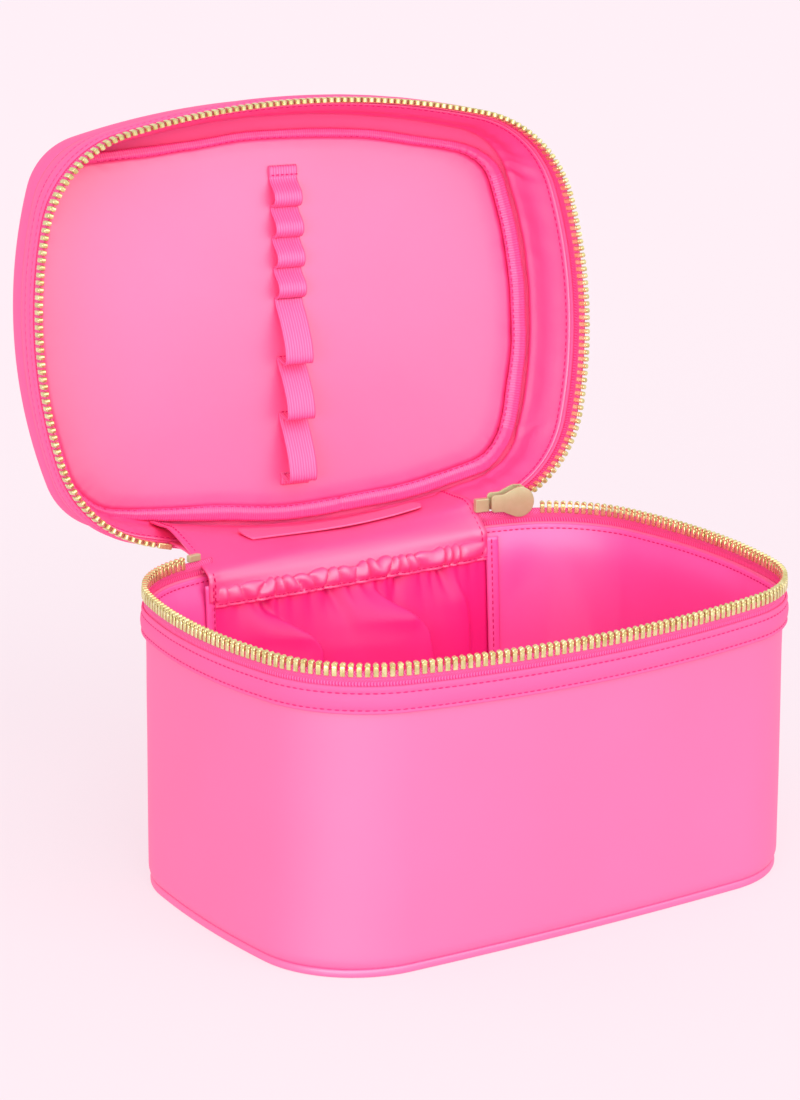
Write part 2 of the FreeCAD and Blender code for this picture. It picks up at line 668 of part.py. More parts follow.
def make_slider():
    """Slider parked where the two rows meet, with its crown, link and pull tab."""
    place = on_chain(SLIDER_X, PARTING_Z)
    place = place.multiply(FreeCAD.Placement(V(0, SLIDER_SHIFT, 0), FreeCAD.Rotation()))
    half = SLIDER_LENGTH / 2
    tall = TIP_GAP / 2 + TOOTH_LENGTH + FLANGE + EDGE_EASE
    inner = PLATE_GAP / 2
    outer = inner + PLATE

    def plate(y):
        head = box(half - SLIDER_HEAD, half, y, y + PLATE, -tall, tall)
        corners = [e for e in head.Edges if abs(e.tangentAt(e.FirstParameter).y) > 0.9]
        head = head.makeFillet(tall * 0.75, corners)
        neck = box(-half, 0, y, y + PLATE, -SLIDER_NECK / 2, SLIDER_NECK / 2)
        corners = [e for e in neck.Edges if abs(e.tangentAt(e.FirstParameter).y) > 0.9
                   and e.CenterOfMass.x < -half + 0.1]
        return head.fuse(neck.makeFillet(NECK_ROUND, corners)).removeSplitter()

    body = plate(inner).fuse(plate(-outer))
    lip = SLIDER_HEAD / 2 - tall * 0.75 + 2.4
    centre = half - SLIDER_HEAD / 2
    for y0, y1 in ((-inner, -TAPE_SLOT / 2), (TAPE_SLOT / 2, inner)):
        for z0, z1 in ((-tall, -tall + FLANGE), (tall - FLANGE, tall)):
            body = body.fuse(box(centre - lip / 2, centre + lip / 2, y0, y1, z0, z1))
    long, high = POST
    body = body.fuse(box(centre - 1, centre - 1 + long, -inner, inner, -high / 2, high / 2))
    body = only_solid(body.removeSplitter())
    reach = CROWN_LENGTH / 2
    rise = outer + CROWN_RISE
    crown = box(-reach, reach, outer, rise, -CROWN_BAR / 2, CROWN_BAR / 2)
    crown = crown.cut(box(-reach + CROWN_LEG, reach - CROWN_LEG, outer, rise - CROWN_BAR, -2, 2))
    bar = rise - CROWN_BAR / 2
    hole = LINK_HOLE / 2
    wire = hole + LINK_WIRE
    link_top = CROWN_BAR / 2 - 0.5

    def track(radius):
        """Racetrack across the row, hung over the crown's bar."""
        low = link_top - LINK_LENGTH + 2 * wire
        a, b = V(0, bar - radius, link_top), V(0, bar + radius, link_top)
        c, d = V(0, bar + radius, low), V(0, bar - radius, low)
        edges = [arc(a, V(0, bar, link_top + radius), b), line(b, c),
                 arc(c, V(0, bar, low - radius), d), line(d, a)]
        return Part.Face(Part.Wire(edges)).extrude(V(LINK_THICK, 0, 0))

    link = track(wire).cut(track(hole))
    link.translate(V(-LINK_THICK / 2, 0, 0))
    wide, deep, thick = PULL_SIZE
    rest = link_top - LINK_LENGTH + 2 * wire - hole
    window, room = PULL_HOLE
    top = rest + LINK_EASE + PULL_EDGE
    tab = box(-wide / 2, wide / 2, bar - thick / 2, bar + thick / 2, top - deep, top)
    corners = [e for e in tab.Edges if abs(e.tangentAt(e.FirstParameter).y) > 0.9]
    tab = tab.makeFillet(PULL_ROUND, corners)
    tab = tab.cut(box(-window / 2, window / 2, bar - 2, bar + 2, rest + LINK_EASE - room, rest + LINK_EASE))
    for name, shape in (("slider_body", body), ("slider_crown", crown), ("pull_link", link),
                        ("pull_tab", tab)):
        shape.Placement = place.multiply(shape.Placement)
        keep(name, shape)


def main():
    make_body()
    make_lid()
    make_zip()
    make_elastic()
    make_hinge()
    make_pocket()
    make_handle()
    make_slider()
    os.makedirs("parts", exist_ok=True)
    for name, shape in PARTS.items():
        shape.exportStep("parts/" + name + ".step")
        print(name, len(shape.Solids), round(shape.Volume, 1), shape.isValid())


main()
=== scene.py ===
"""Looks of a soft pink makeup train case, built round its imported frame."""

import logging
import math
from collections.abc import Callable, Iterable, Sequence
from dataclasses import astuple, dataclass
from enum import Enum
from functools import cached_property

import bmesh
import bpy
from mathutils import Matrix, Vector, noise


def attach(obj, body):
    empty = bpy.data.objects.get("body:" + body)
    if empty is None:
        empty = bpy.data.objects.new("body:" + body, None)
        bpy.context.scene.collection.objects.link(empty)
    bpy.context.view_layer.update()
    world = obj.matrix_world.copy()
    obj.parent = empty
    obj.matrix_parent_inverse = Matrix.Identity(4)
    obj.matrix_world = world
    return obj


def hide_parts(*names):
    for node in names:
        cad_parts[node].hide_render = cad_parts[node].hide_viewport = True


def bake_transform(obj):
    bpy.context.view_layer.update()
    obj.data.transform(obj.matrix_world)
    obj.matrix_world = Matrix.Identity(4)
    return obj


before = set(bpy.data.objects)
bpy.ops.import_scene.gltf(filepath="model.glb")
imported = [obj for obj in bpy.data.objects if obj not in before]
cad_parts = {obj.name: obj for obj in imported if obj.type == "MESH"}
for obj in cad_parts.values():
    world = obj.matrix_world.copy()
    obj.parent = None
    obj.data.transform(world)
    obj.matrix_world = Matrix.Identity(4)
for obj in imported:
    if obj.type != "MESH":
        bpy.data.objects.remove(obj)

LOG = logging.getLogger("train_case")
MM = 0.001
# Scale at which a wave texture has one band a unit.
ONE_BAND = 0.05 * 2 * math.pi
# Numbers of the outline's corner arcs.
CORNERS = (1, 3, 5, 7)
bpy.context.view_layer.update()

BMesh = bmesh.types.BMesh
Profile = list[tuple[float, float]]
Sockets = tuple[bpy.types.NodeSocket, bpy.types.NodeSocket]


def srgb(code: str) -> tuple[float, float, float, float]:
    """Turns an sRGB hex colour into linear light.

    Args:
        code: six hex digits, with or without a leading hash.

    Returns:
        Red, green, blue and an alpha of one.
    """
    values = [int(code.lstrip("#")[i:i + 2], 16) / 255 for i in (0, 2, 4)]
    linear = [v / 12.92 if v <= 0.04045 else ((v + 0.055) / 1.055) ** 2.4 for v in values]
    return (linear[0], linear[1], linear[2], 1.0)


def feed(tree: bpy.types.NodeTree, node: bpy.types.Node, inputs: dict) -> None:
    """Fills a node's sockets.

    Args:
        tree: node tree that holds the node.
        node: node to fill.
        inputs: socket name or number to a value or to another node's output.
    """
    for key, value in inputs.items():
        if isinstance(value, bpy.types.NodeSocket):
            tree.links.new(value, node.inputs[key])
        else:
            node.inputs[key].default_value = value


def add_node(tree: bpy.types.NodeTree, kind: str, inputs: dict | None = None,
             **settings) -> bpy.types.Node:
    """Adds one shader node.

    Args:
        tree: node tree that takes the node.
        kind: node class name after "ShaderNode".
        inputs: socket name or number to a value or to another node's output.
        settings: properties to set on the node.

    Returns:
        The new node.
    """
    node = tree.nodes.new("ShaderNode" + kind)
    for key, value in settings.items():
        setattr(node, key, value)
    feed(tree, node, inputs or {})
    return node


def clouds(tree: bpy.types.NodeTree, coord: bpy.types.Node, size: float) -> bpy.types.NodeSocket:
    """Adds soft noise in the piece's own space.

    Args:
        tree: node tree that takes the noise.
        coord: texture coordinates.
        size: size of its features in millimetres.

    Returns:
        The noise, from nought to one.
    """
    inputs = {"Vector": coord.outputs["Object"], "Scale": 1 / (size * MM), "Detail": 2.0}
    return add_node(tree, "TexNoise", inputs).outputs[0]


def bands(tree: bpy.types.NodeTree, vector: bpy.types.NodeSocket, size: float, way: str = "X",
          waver: float = 0.0) -> bpy.types.NodeSocket:
    """Adds even bands with soft edges.

    Args:
        tree: node tree that takes the bands.
        vector: coordinates that they lie on.
        size: distance from band to band, in the unit of the coordinates.
        way: direction across the bands.
        waver: unevenness of the bands.

    Returns:
        The bands, from nought to one.
    """
    inputs = {"Vector": vector, "Scale": ONE_BAND / size, "Distortion": waver}
    return add_node(tree, "TexWave", inputs, bands_direction=way).outputs[1]


def smoothstep(low: float, high: float, value: float) -> float:
    """Goes smoothly from nought at low to one at high."""
    t = min(1.0, max(0.0, (value - low) / (high - low)))
    return t * t * (3 - 2 * t)


def lerp(a: float, b: float, share: float) -> float:
    """Mixes two numbers."""
    return a + (b - a) * share


def evenly(first: float, last: float, count: int) -> list[float]:
    """Numbers from first to last in a given count of even steps."""
    return [lerp(first, last, i / count) for i in range(count + 1)]


def circle(count: int) -> list[float]:
    """Angles once round in a given count of even steps."""
    return [2 * math.pi * i / count for i in range(count)]


def squared(value: float, power: float) -> float:
    """Raises a number to a power and keeps its sign, which squares up a round profile."""
    return math.copysign(abs(value) ** power, value)


def spline(points: Sequence[Vector], share: float) -> Vector:
    """Point on a smooth curve through some points.

    Args:
        points: points to pass through.
        share: from nought at the first to one at the last.

    Returns:
        The point on the curve.
    """
    place = share * (len(points) - 1)
    i = min(int(place), len(points) - 2)
    t = place - i
    a, b = points[i], points[i + 1]
    before = points[i - 1] if i else a * 2 - b
    after = points[i + 2] if i + 2 < len(points) else b * 2 - a
    ma, mb = (b - before) * 0.5, (after - a) * 0.5
    t2, t3 = t * t, t * t * t
    return a * (2 * t3 - 3 * t2 + 1) + ma * (t3 - 2 * t2 + t) + b * (3 * t2 - 2 * t3) + mb * (t3 - t2)


def placed(spot: Vector, x: Vector, y: Vector) -> Matrix:
    """Frame at a spot with two of its axes given and the third square to both."""
    return Matrix.Translation(spot) @ Matrix((x, y, x.cross(y))).transposed().to_4x4()


@dataclass(frozen=True)
class Wave:
    """Soft unevenness of cloth, cut from one layer of smooth noise, in millimetres."""

    high: float
    size: float
    layer: float
    squeeze: float = 1.0

    def at(self, along: float, across: float = 0.0) -> float:
        """Gives the height at a place, from about minus high to high."""
        spot = Vector((along / self.size, across * self.squeeze / self.size, self.layer / self.size))
        return self.high * noise.noise(spot)


class Body(Enum):
    """Rigid bodies of the frame that a piece can ride on."""

    CASE = "case"
    LID = "lid"
    SLIDER = "slider"
    PULL = "pull"


class Slot(Enum):
    """Material slots of the record."""

    COATED = "coated_cloth_pink"
    LINING = "lining_cloth_pink"
    WELT = "welt_pink"
    TAPE = "woven_tape_pink"
    GROSGRAIN = "grosgrain_pink"
    ELASTIC = "elastic_pink"
    METAL = "zip_metal_gold"
    BOARD = "stiffener_board"


@dataclass(frozen=True)
class Finish:
    """A surface finish: two colours mixed by a pattern, and that pattern's relief."""

    name: str
    slot: Slot
    dark: str
    light: str
    roughness: float = 0.55
    specular: float = 0.5
    ior: float = 1.5
    metallic: float = 0.0
    relief_mm: float = 0.06
    strength: float = 0.3

    def material(self) -> bpy.types.Material:
        """Gives the material, made on first use."""
        found = bpy.data.materials.get(self.name)
        if found:
            return found
        made = bpy.data.materials.new(self.name)
        made.use_nodes = True
        tree = made.node_tree
        tint, height = self.pattern(tree, add_node(tree, "TexCoord"))
        mix = add_node(tree, "Mix", {0: tint, 6: srgb(self.dark), 7: srgb(self.light)}, data_type="RGBA")
        bump = add_node(tree, "Bump", {"Height": height, "Strength": self.strength,
                                       "Distance": self.relief_mm * MM})
        feed(tree, tree.nodes["Principled BSDF"],
             {"Base Color": mix.outputs[2], "Normal": bump.outputs[0], "Roughness": self.roughness,
              "Specular IOR Level": self.specular, "IOR": self.ior, "Metallic": self.metallic})
        return made

    def pattern(self, tree: bpy.types.NodeTree, coord: bpy.types.Node) -> Sockets:
        """Makes the pattern of the finish.

        Args:
            tree: node tree of the material.
            coord: texture coordinates; UV maps are in millimetres.

        Returns:
            Sockets of the colour's mix and of the relief, both from nought to one.
        """
        raise NotImplementedError


@dataclass(frozen=True)
class Clouded(Finish):
    """Slow clouds of colour over a fine grain in the piece's own space."""

    cloud_mm: float = 60.0
    # A real coating's grain is too fine to show, so it is drawn coarser.
    grain_mm: float = 0.9

    def pattern(self, tree: bpy.types.NodeTree, coord: bpy.types.Node) -> Sockets:
        """Gives slow clouds for the colour and a fine grain for the relief."""
        return clouds(tree, coord, self.cloud_mm), clouds(tree, coord, self.grain_mm)


@dataclass(frozen=True)
class Woven(Finish):
    """Plain weave: two sets of fine threads on the UV map, over slow clouds of colour."""

    # Real lining threads are too fine to show, so they are drawn coarser.
    thread_mm: float = 0.55
    cloud_mm: float = 45.0

    def pattern(self, tree: bpy.types.NodeTree, coord: bpy.types.Node) -> Sockets:
        """Gives clouds for the colour and the crossing threads for the relief."""
        threads = [bands(tree, coord.outputs["UV"], self.thread_mm, way) for way in ("X", "Y")]
        weave = add_node(tree, "Math", {0: threads[0], 1: threads[1]}, operation="MULTIPLY")
        return clouds(tree, coord, self.cloud_mm), weave.outputs[0]


@dataclass(frozen=True)
class Herringbone(Finish):
    """Woven zip tape: raised chevrons in rows along the tape."""

    # Drawn coarser than real tape, whose ribs are too fine to show.
    chevron_mm: float = 2.2
    rib_mm: float = 1.15

    def pattern(self, tree: bpy.types.NodeTree, coord: bpy.types.Node) -> Sockets:
        """Gives the slanted ribs, which turn back at every row."""
        split = add_node(tree, "SeparateXYZ", {0: coord.outputs["UV"]})
        fold = add_node(tree, "Math", {0: split.outputs[1], 1: self.chevron_mm / 2}, operation="PINGPONG")
        slant = add_node(tree, "Math", {0: split.outputs[0], 1: fold.outputs[0]}, operation="ADD")
        place = add_node(tree, "CombineXYZ", {0: slant.outputs[0]})
        ribs = bands(tree, place.outputs[0], self.rib_mm)
        # The ribs also mix the colour: painted highlight on the raised ribs, painted shade between them.
        return ribs, ribs


@dataclass(frozen=True)
class Ribbed(Finish):
    """Ribbed narrow cloth: grosgrain with ribs across it, or elastic with ribs along it."""

    # Drawn a little coarser than real ribs, so that they show.
    rib_mm: float = 0.95
    lengthwise: bool = False
    waver: float = 0.6

    def pattern(self, tree: bpy.types.NodeTree, coord: bpy.types.Node) -> Sockets:
        """Gives the ribs with a slight unevenness."""
        way = "Y" if self.lengthwise else "X"
        ribs = bands(tree, coord.outputs["UV"], self.rib_mm, way, self.waver)
        # The ribs also mix the colour: painted highlight on their crowns, painted shade in the grooves.
        return ribs, ribs


@dataclass(frozen=True)
class Twisted(Finish):
    """Spun thread: slanted bands in the piece's own space."""

    twist_mm: float = 0.5

    def pattern(self, tree: bpy.types.NodeTree, coord: bpy.types.Node) -> Sockets:
        """Gives the twist of the thread."""
        twist = bands(tree, coord.outputs["Object"], self.twist_mm * MM, "DIAGONAL")
        # The twist also mixes the colour: painted highlight on its raised strands, painted shade between
        # them.
        return twist, twist


# After the two colours come roughness, specular level and index of refraction.
# Polyurethane-coated nylon: hot pink under a satin haze that whitens it wherever it faces the room.
COATED = Clouded("coated_nylon", Slot.COATED, "FA3088", "FF3A92", 0.65, 1.0, 2.0)
# The lid's outer cloth and the rim bands: a shaded copy of the coated cloth, painted a little darker and
# given less of the haze, as painted shade.
SHADED_COATED = Clouded("coated_nylon_painted_shade", Slot.COATED, "F63086", "FE3A90", 0.8, 0.95, 1.82)
# The same cloth over the welt's cord, painted a little paler as a highlight along it.
WELT = Clouded("coated_nylon_welt", Slot.WELT, "FD3A8C", "FF4698", 0.5, 1.0, 1.9)
# Thin woven nylon lining with a satin face.
LINING = Woven("woven_lining", Slot.LINING, "FC38A4", "FF44AE", 0.55, 1.0, 1.8)
# The same lining in the pocket: a shaded copy, painted deeper in colour and given less shine, as painted
# shade under the casing.
SHADED_POCKET_LINING = Woven("pocket_lining_painted_shade", Slot.LINING, "EE1882", "FA248E", 0.5, 0.55, 1.5)
# Smoother lining with fainter threads: padded panel, hinge, lid's side and pocket casing.
PANEL_CLOTH = Woven("smooth_panel_lining", Slot.LINING, "FC3089", "FF3B93", 0.5, 1.0, 1.9, relief_mm=0.03)
# Zip tape: the chevrons are painted lighter on their raised ribs and darker between them, as painted
# highlight and painted shade.
TAPE = Herringbone("herringbone_zip_tape", Slot.TAPE, "E41C7A", "FF68A8", 0.6, 0.6, 1.55, relief_mm=0.25,
                   strength=0.5)
# Grosgrain: crosswise ribs, painted lighter on their crowns and darker between them along the binding, as
# painted highlight and painted shade.
GROSGRAIN = Ribbed("grosgrain_binding", Slot.GROSGRAIN, "F02886", "FF509E", 0.5, 0.9, 1.65, relief_mm=0.2,
                   strength=0.5)
# Knitted elastic: lengthwise ribs, painted paler on their crowns as a painted highlight and darker between
# them as painted shade.
ELASTIC = Ribbed("ribbed_elastic", Slot.ELASTIC, "EE4690", "FF70B0", 0.6, 0.8, 1.6, relief_mm=0.2,
                 strength=0.6, rib_mm=1.05, lengthwise=True)
# Sewing thread: painted darker than the cloth round it, as painted shade of the groove it is sunk in.
THREAD = Twisted("sewing_thread", Slot.COATED, "CC1268", "E62C80", 0.6, 0.3)
# Light gold plating on brass teeth, tumbled bright.
GOLD = Clouded("gold_plated_brass", Slot.METAL, "B09430", "FFFCC8", 0.22, metallic=0.75, cloud_mm=2.5,
               strength=0.1)
# Paler satin gold on the slider and the retainer box, whose own colour shows through the shine.
PALE_GOLD = Clouded("pale_gold_slider", Slot.METAL, "B4B080", "C8C49C", 0.34, metallic=0.3, cloud_mm=4.0,
                    strength=0.1)
# Extruded stiffener sheet with a faint grain.
BOARD = Clouded("extruded_board", Slot.BOARD, "D4D2CC", "E4E2DC", 0.6, cloud_mm=6.0, grain_mm=1.5)


@dataclass(frozen=True)
class Outline:
    """Rounded rectangle with bowed sides, made of nine tangent arcs from the back middle."""

    width: float
    depth: float
    long_r: float
    side_r: float
    corner_r: float
    x: float = 0.0
    y: float = 0.0

    def mixed(self, other: "Outline", share: float) -> "Outline":
        """Gives the outline part of the way to another."""
        return Outline(*(lerp(a, b, share) for a, b in zip(astuple(self), astuple(other))))

    @property
    def middle(self) -> Vector:
        """Centre of the outline."""
        return Vector((self.x, self.y))

    @cached_property
    def arcs(self) -> list[tuple[Vector, float, float, float]]:
        """Centre, radius, first angle and last angle of each arc, clockwise from above."""
        back = Vector((0, self.depth / 2 - self.long_r))
        right = Vector((self.width / 2 - self.side_r, 0))
        ra, rb = self.long_r - self.corner_r, self.side_r - self.corner_r
        way = right - back
        gap = way.length
        along = (ra * ra - rb * rb + gap * gap) / (2 * gap)
        off = math.sqrt(ra * ra - along * along)
        way.normalize()
        corner = back + way * along + Vector((way.y, -way.x)) * off
        a = math.atan2(corner.y - back.y, corner.x - back.x)
        b = math.atan2(corner.y - right.y, corner.x - right.x)
        full, half = math.pi, math.pi / 2

        def flip(p: Vector, sx: int, sy: int) -> Vector:
            return Vector((p.x * sx, p.y * sy))

        return [(back, self.long_r, half, a), (corner, self.corner_r, a, b),
                (right, self.side_r, b, -b), (flip(corner, 1, -1), self.corner_r, -b, -a),
                (flip(back, 1, -1), self.long_r, -a, a - full),
                (flip(corner, -1, -1), self.corner_r, a - full, b - full),
                (flip(right, -1, 1), self.side_r, b - full, -b - full),
                (flip(corner, -1, 1), self.corner_r, -b - full, -a - full),
                (back, self.long_r, -a - full, -full - half)]

    def at(self, arc: int, share: float, grow: float) -> Vector:
        """Point on one arc, moved outwards by grow."""
        centre, radius, first, last = self.arcs[arc]
        angle = lerp(first, last, share)
        return self.middle + centre + Vector((math.cos(angle), math.sin(angle))) * (radius + grow)

    def back_y(self, x: float, grow: float) -> float:
        """Where the back side stands at a given x."""
        reach = self.long_r + grow
        side = x - self.x
        return self.y + self.depth / 2 - self.long_r + math.sqrt(reach * reach - side * side)


@dataclass(frozen=True)
class Station:
    """A place along the rim: which arc, and how far along it."""

    arc: int
    share: float


@dataclass(frozen=True)
class CaseSizes:
    """Sizes shared by all the sub-assemblies, in millimetres."""

    chain: float = 120.8
    chain_out: float = 0.4
    tooth: float = 5.2
    tip_gap: float = 1.6
    pitch: float = 3.0
    tape_shown: float = 3.6
    tape_thick: float = 0.8
    face: float = 4.6
    stitch_pitch: float = 2.7
    base_round: float = 8.0
    lid_height: float = 44.0
    lid_round: float = 7.0
    lid_seam: float = 30.0
    hinge_y: float = 90.6
    hinge_z: float = 115.25
    lid_open: float = 97.18
    lid_skew: float = -9.38
    rim: Outline = Outline(244.2, 185.6, 343.6, 202.6, 49.6)
    base: Outline = Outline(242.8, 163.6, 1600.0, 400.0, 44.0)
    top: Outline = Outline(234.0, 186.0, 345.0, 204.0, 27.0, -5.0, -2.0)

    @property
    def lid_z(self) -> float:
        """Height of the shut lid's row of teeth."""
        return self.chain + self.tooth + self.tip_gap

    @property
    def band_top(self) -> float:
        """Height of the upper edge of the rim band."""
        return self.chain - self.tooth / 2 - self.tape_shown

    @property
    def band_start(self) -> float:
        """Distance from the lid's teeth to its rim band."""
        return self.tooth / 2 + self.tape_shown

    @cached_property
    def opened(self) -> Matrix:
        """Move, in metres, from the shut lid to the open one."""
        pivot = Matrix.Translation(Vector((0, self.hinge_y, self.hinge_z)) * MM)
        turn = (Matrix.Rotation(math.radians(self.lid_skew), 4, "Z")
                @ Matrix.Rotation(math.radians(-self.lid_open), 4, "X"))
        return pivot @ turn @ pivot.inverted()

    @cached_property
    def arc_lengths(self) -> list[float]:
        """Lengths of the rim's arcs along the row of teeth."""
        return [(r + self.chain_out) * abs(b - a) for _, r, a, b in self.rim.arcs]

    @property
    def round_length(self) -> float:
        """Whole length of the rim along the row of teeth."""
        return sum(self.arc_lengths)

    def station(self, along: float) -> Station:
        """Gives the place at a distance along the rim from the back middle."""
        left = along % self.round_length
        for arc, length in enumerate(self.arc_lengths):
            if left <= length:
                return Station(arc, left / length)
            left -= length
        return Station(len(self.arc_lengths) - 1, 1.0)

    def stops(self, count: int) -> list[Station]:
        """Places at an even pitch all the way round, the first one repeated at the end."""
        return [self.station(self.round_length * (i % count) / count) for i in range(count + 1)]


SIZES = CaseSizes()


@dataclass(frozen=True)
class Wall:
    """Ruled wall between two outlines, standing on the floor or turned with the lid."""

    low: Outline
    high: Outline
    rise: float
    start: float
    pose: Matrix

    def point(self, place: Station, height: float, grow: float, share: float = 1.0) -> Vector:
        """Point of the wall in metres at rest.

        Args:
            place: where along the rim.
            height: distance from the wall's lower outline, in millimetres.
            grow: distance outside the outer skin, in millimetres.
            share: one on the wall, nought at the middle of its outline.

        Returns:
            The point in the row frame.
        """
        foot = self.low.at(place.arc, place.share, grow)
        head = self.high.at(place.arc, place.share, grow)
        up = height / self.rise
        flat = self.low.middle.lerp(self.high.middle, up).lerp(foot.lerp(head, up), share)
        return self.pose @ (Vector((flat.x, flat.y, self.start + height)) * MM)

    def back(self, x: float, height: float, inset: float) -> Vector:
        """Point on the back of the wall in metres, drawn in by an inset."""
        y = lerp(self.low.back_y(x, -inset), self.high.back_y(x, -inset), height / self.rise)
        return self.pose @ (Vector((x, y, self.start + height)) * MM)

    def axes(self, along: float, height: float, grow: float) -> Matrix:
        """Frame on the wall with x along the rim, y outwards and z up the wall.

        Args:
            along: distance along the rim in millimetres.
            height: distance from the lower outline in millimetres.
            grow: distance outside the skin in millimetres.

        Returns:
            A matrix in metres at rest.
        """
        step = 0.4
        here = SIZES.station(along)
        middle = self.point(here, height, grow)
        ahead = self.point(SIZES.station(along + step), height, grow)
        behind = self.point(SIZES.station(along - step), height, grow)
        up = (self.point(here, height + 1, grow) - self.point(here, height - 1, grow)).normalized()
        x = (ahead - behind).normalized()
        return placed(middle, x, up.cross(x).normalized())


BODY_WALL = Wall(SIZES.base, SIZES.rim, SIZES.chain, 0.0, Matrix.Identity(4))
LID_WALL = Wall(SIZES.rim, SIZES.top, SIZES.lid_height, SIZES.lid_z, SIZES.opened)


@dataclass
class Sewing:
    """Makes meshes and hands finished pieces to the frame."""

    merge_mm: float = 0.004

    def grid(self, along: int, across: int, place: Callable[[int, int], Vector], size: tuple[float, float],
             thick: float = 0.0) -> BMesh:
        """Shapes a grid of quads, joined where its points fall together or thickened as one sheet.

        Args:
            along: number of faces one way.
            across: number of faces the other way.
            place: gives the point at a column and a row.
            size: lengths in millimetres that the UV map runs over.
            thick: thickness of the sheet in millimetres, or nought to join points instead.

        Returns:
            The shaped mesh, with its UV map in millimetres.
        """
        bm = bmesh.new()
        bmesh.ops.create_grid(bm, x_segments=along, y_segments=across, size=0.5)
        layer = bm.loops.layers.uv.new("UVMap")
        for face in bm.faces:
            for loop in face.loops:
                co = loop.vert.co
                loop[layer].uv = ((co.x + 0.5) * size[0], (co.y + 0.5) * size[1])
        for vert in bm.verts:
            column = round((vert.co.x + 0.5) * along)
            row = round((vert.co.y + 0.5) * across)
            vert.co = place(column, row)
        if not thick:
            bmesh.ops.remove_doubles(bm, verts=bm.verts, dist=self.merge_mm * MM)
        bmesh.ops.recalc_face_normals(bm, faces=bm.faces)
        if thick:
            bmesh.ops.solidify(bm, geom=bm.faces[:], thickness=-thick * MM)
        return bm

    def ring(self, wall: Wall, profile: Profile, count: int = 360, span: tuple[float, float] | None = None,
             soft: Callable[[float, float, float], float] | None = None) -> BMesh:
        """Sweeps a closed profile round the rim.

        Args:
            wall: wall that the profile follows.
            profile: distances outside the skin and heights, in millimetres, not closed.
            count: number of steps round the rim.
            span: first and last distance along the rim, or all the way round.
            soft: extra distance outwards at a distance along, a height and a depth.

        Returns:
            The swept closed mesh.
        """
        first, last = span or (0.0, SIZES.round_length)
        rows = profile + profile[:1]
        places = [first + (last - first) * i / count for i in range(count + 1)]
        stops = [SIZES.station(s) for s in places]
        lengths = sum(math.dist(a, b) for a, b in zip(rows, rows[1:]))

        def place(column: int, row: int) -> Vector:
            grow, height = rows[row]
            if span is None:
                column %= count
            extra = soft(places[column], height, grow) if soft else 0.0
            return wall.point(stops[column], height, grow + extra)

        bm = self.grid(count, len(profile), place, (last - first, lengths))
        if span:
            self.close(bm)
        return bm

    def close(self, bm: BMesh) -> None:
        """Fills the open ends of a tube."""
        bmesh.ops.holes_fill(bm, edges=[e for e in bm.edges if e.is_boundary], sides=0)
        bmesh.ops.recalc_face_normals(bm, faces=bm.faces)

    def crisp(self, bm: BMesh, angle: float = 1.0) -> list[bmesh.types.BMEdge]:
        """Edges that turn by more than an angle in radians."""
        return [e for e in bm.edges if e.calc_face_angle(0.0) > angle]

    def bevel(self, bm: BMesh, edges: list[bmesh.types.BMEdge], width: float, segments: int) -> None:
        """Rounds some edges over a width in millimetres."""
        bmesh.ops.bevel(bm, geom=edges, offset=width * MM, offset_type="OFFSET", segments=segments,
                        profile=0.5, affect="EDGES", material=-1)

    def joined(self, shapes: Iterable[BMesh]) -> BMesh:
        """Puts several shapes, which are used up, into one mesh."""
        whole = bmesh.new()
        for shape in shapes:
            mesh = bpy.data.meshes.new("part")
            shape.to_mesh(mesh)
            shape.free()
            whole.from_mesh(mesh)
            bpy.data.meshes.remove(mesh)
        return whole

    def strap(self, path: Sequence[Vector], side: Vector, width: float, thick: float,
              steps: int = 8, lip: float = 0.0) -> BMesh:
        """Sweeps a flat strap with rounded edges along a path.

        Args:
            path: points along the strap's middle, in metres.
            side: unit vector across the strap.
            width: strap width in millimetres.
            thick: strap thickness in millimetres.
            steps: faces across one side.
            lip: extra height of the strap near its edges, in millimetres.

        Returns:
            The closed strap.
        """
        half, deep = width / 2, thick / 2
        edge = deep * 0.7
        top = [(x, deep + (lip if half - abs(x) < 1.3 else 0.0))
               for x in evenly(-half + edge, half - edge, steps)]
        loop = [(-half, 0.0)] + top + [(half, 0.0)] + [(x, -y) for x, y in reversed(top)]
        length = sum((b - a).length for a, b in zip(path, path[1:])) / MM

        def place(column: int, row: int) -> Vector:
            before = path[max(0, column - 1)]
            after = path[min(len(path) - 1, column + 1)]
            normal = (after - before).normalized().cross(side).normalized()
            x, y = loop[row % len(loop)]
            return path[column] + side * (x * MM) + normal * (y * MM)

        bm = self.grid(len(path) - 1, len(loop), place, (length, 2 * width))
        self.close(bm)
        return bm

    def repeat(self, one: BMesh, places: Iterable[Matrix]) -> BMesh:
        """Repeats a small shape.

        Args:
            one: the shape, which is used up.
            places: where each copy goes.

        Returns:
            All the copies in one mesh.
        """
        pattern = bpy.data.meshes.new("pattern")
        one.to_mesh(pattern)
        one.free()
        bm = bmesh.new()
        for place in places:
            copy = pattern.copy()
            copy.transform(place)
            bm.from_mesh(copy)
            bpy.data.meshes.remove(copy)
        bpy.data.meshes.remove(pattern)
        return bm

    def stitch(self, long: float = 2.0, wide: float = 0.62, high: float = 0.34) -> BMesh:
        """One stitch that dives into the cloth at both ends, along x with z outwards."""
        bm = bmesh.new()
        size = Matrix.Diagonal(Vector((long / 2, wide / 2, high, 1)) * MM)
        size[3][3] = 1.0
        bmesh.ops.create_uvsphere(bm, u_segments=8, v_segments=5, radius=1.0,
                                  matrix=size @ Matrix.Rotation(math.pi / 2, 4, "Y"))
        return bm

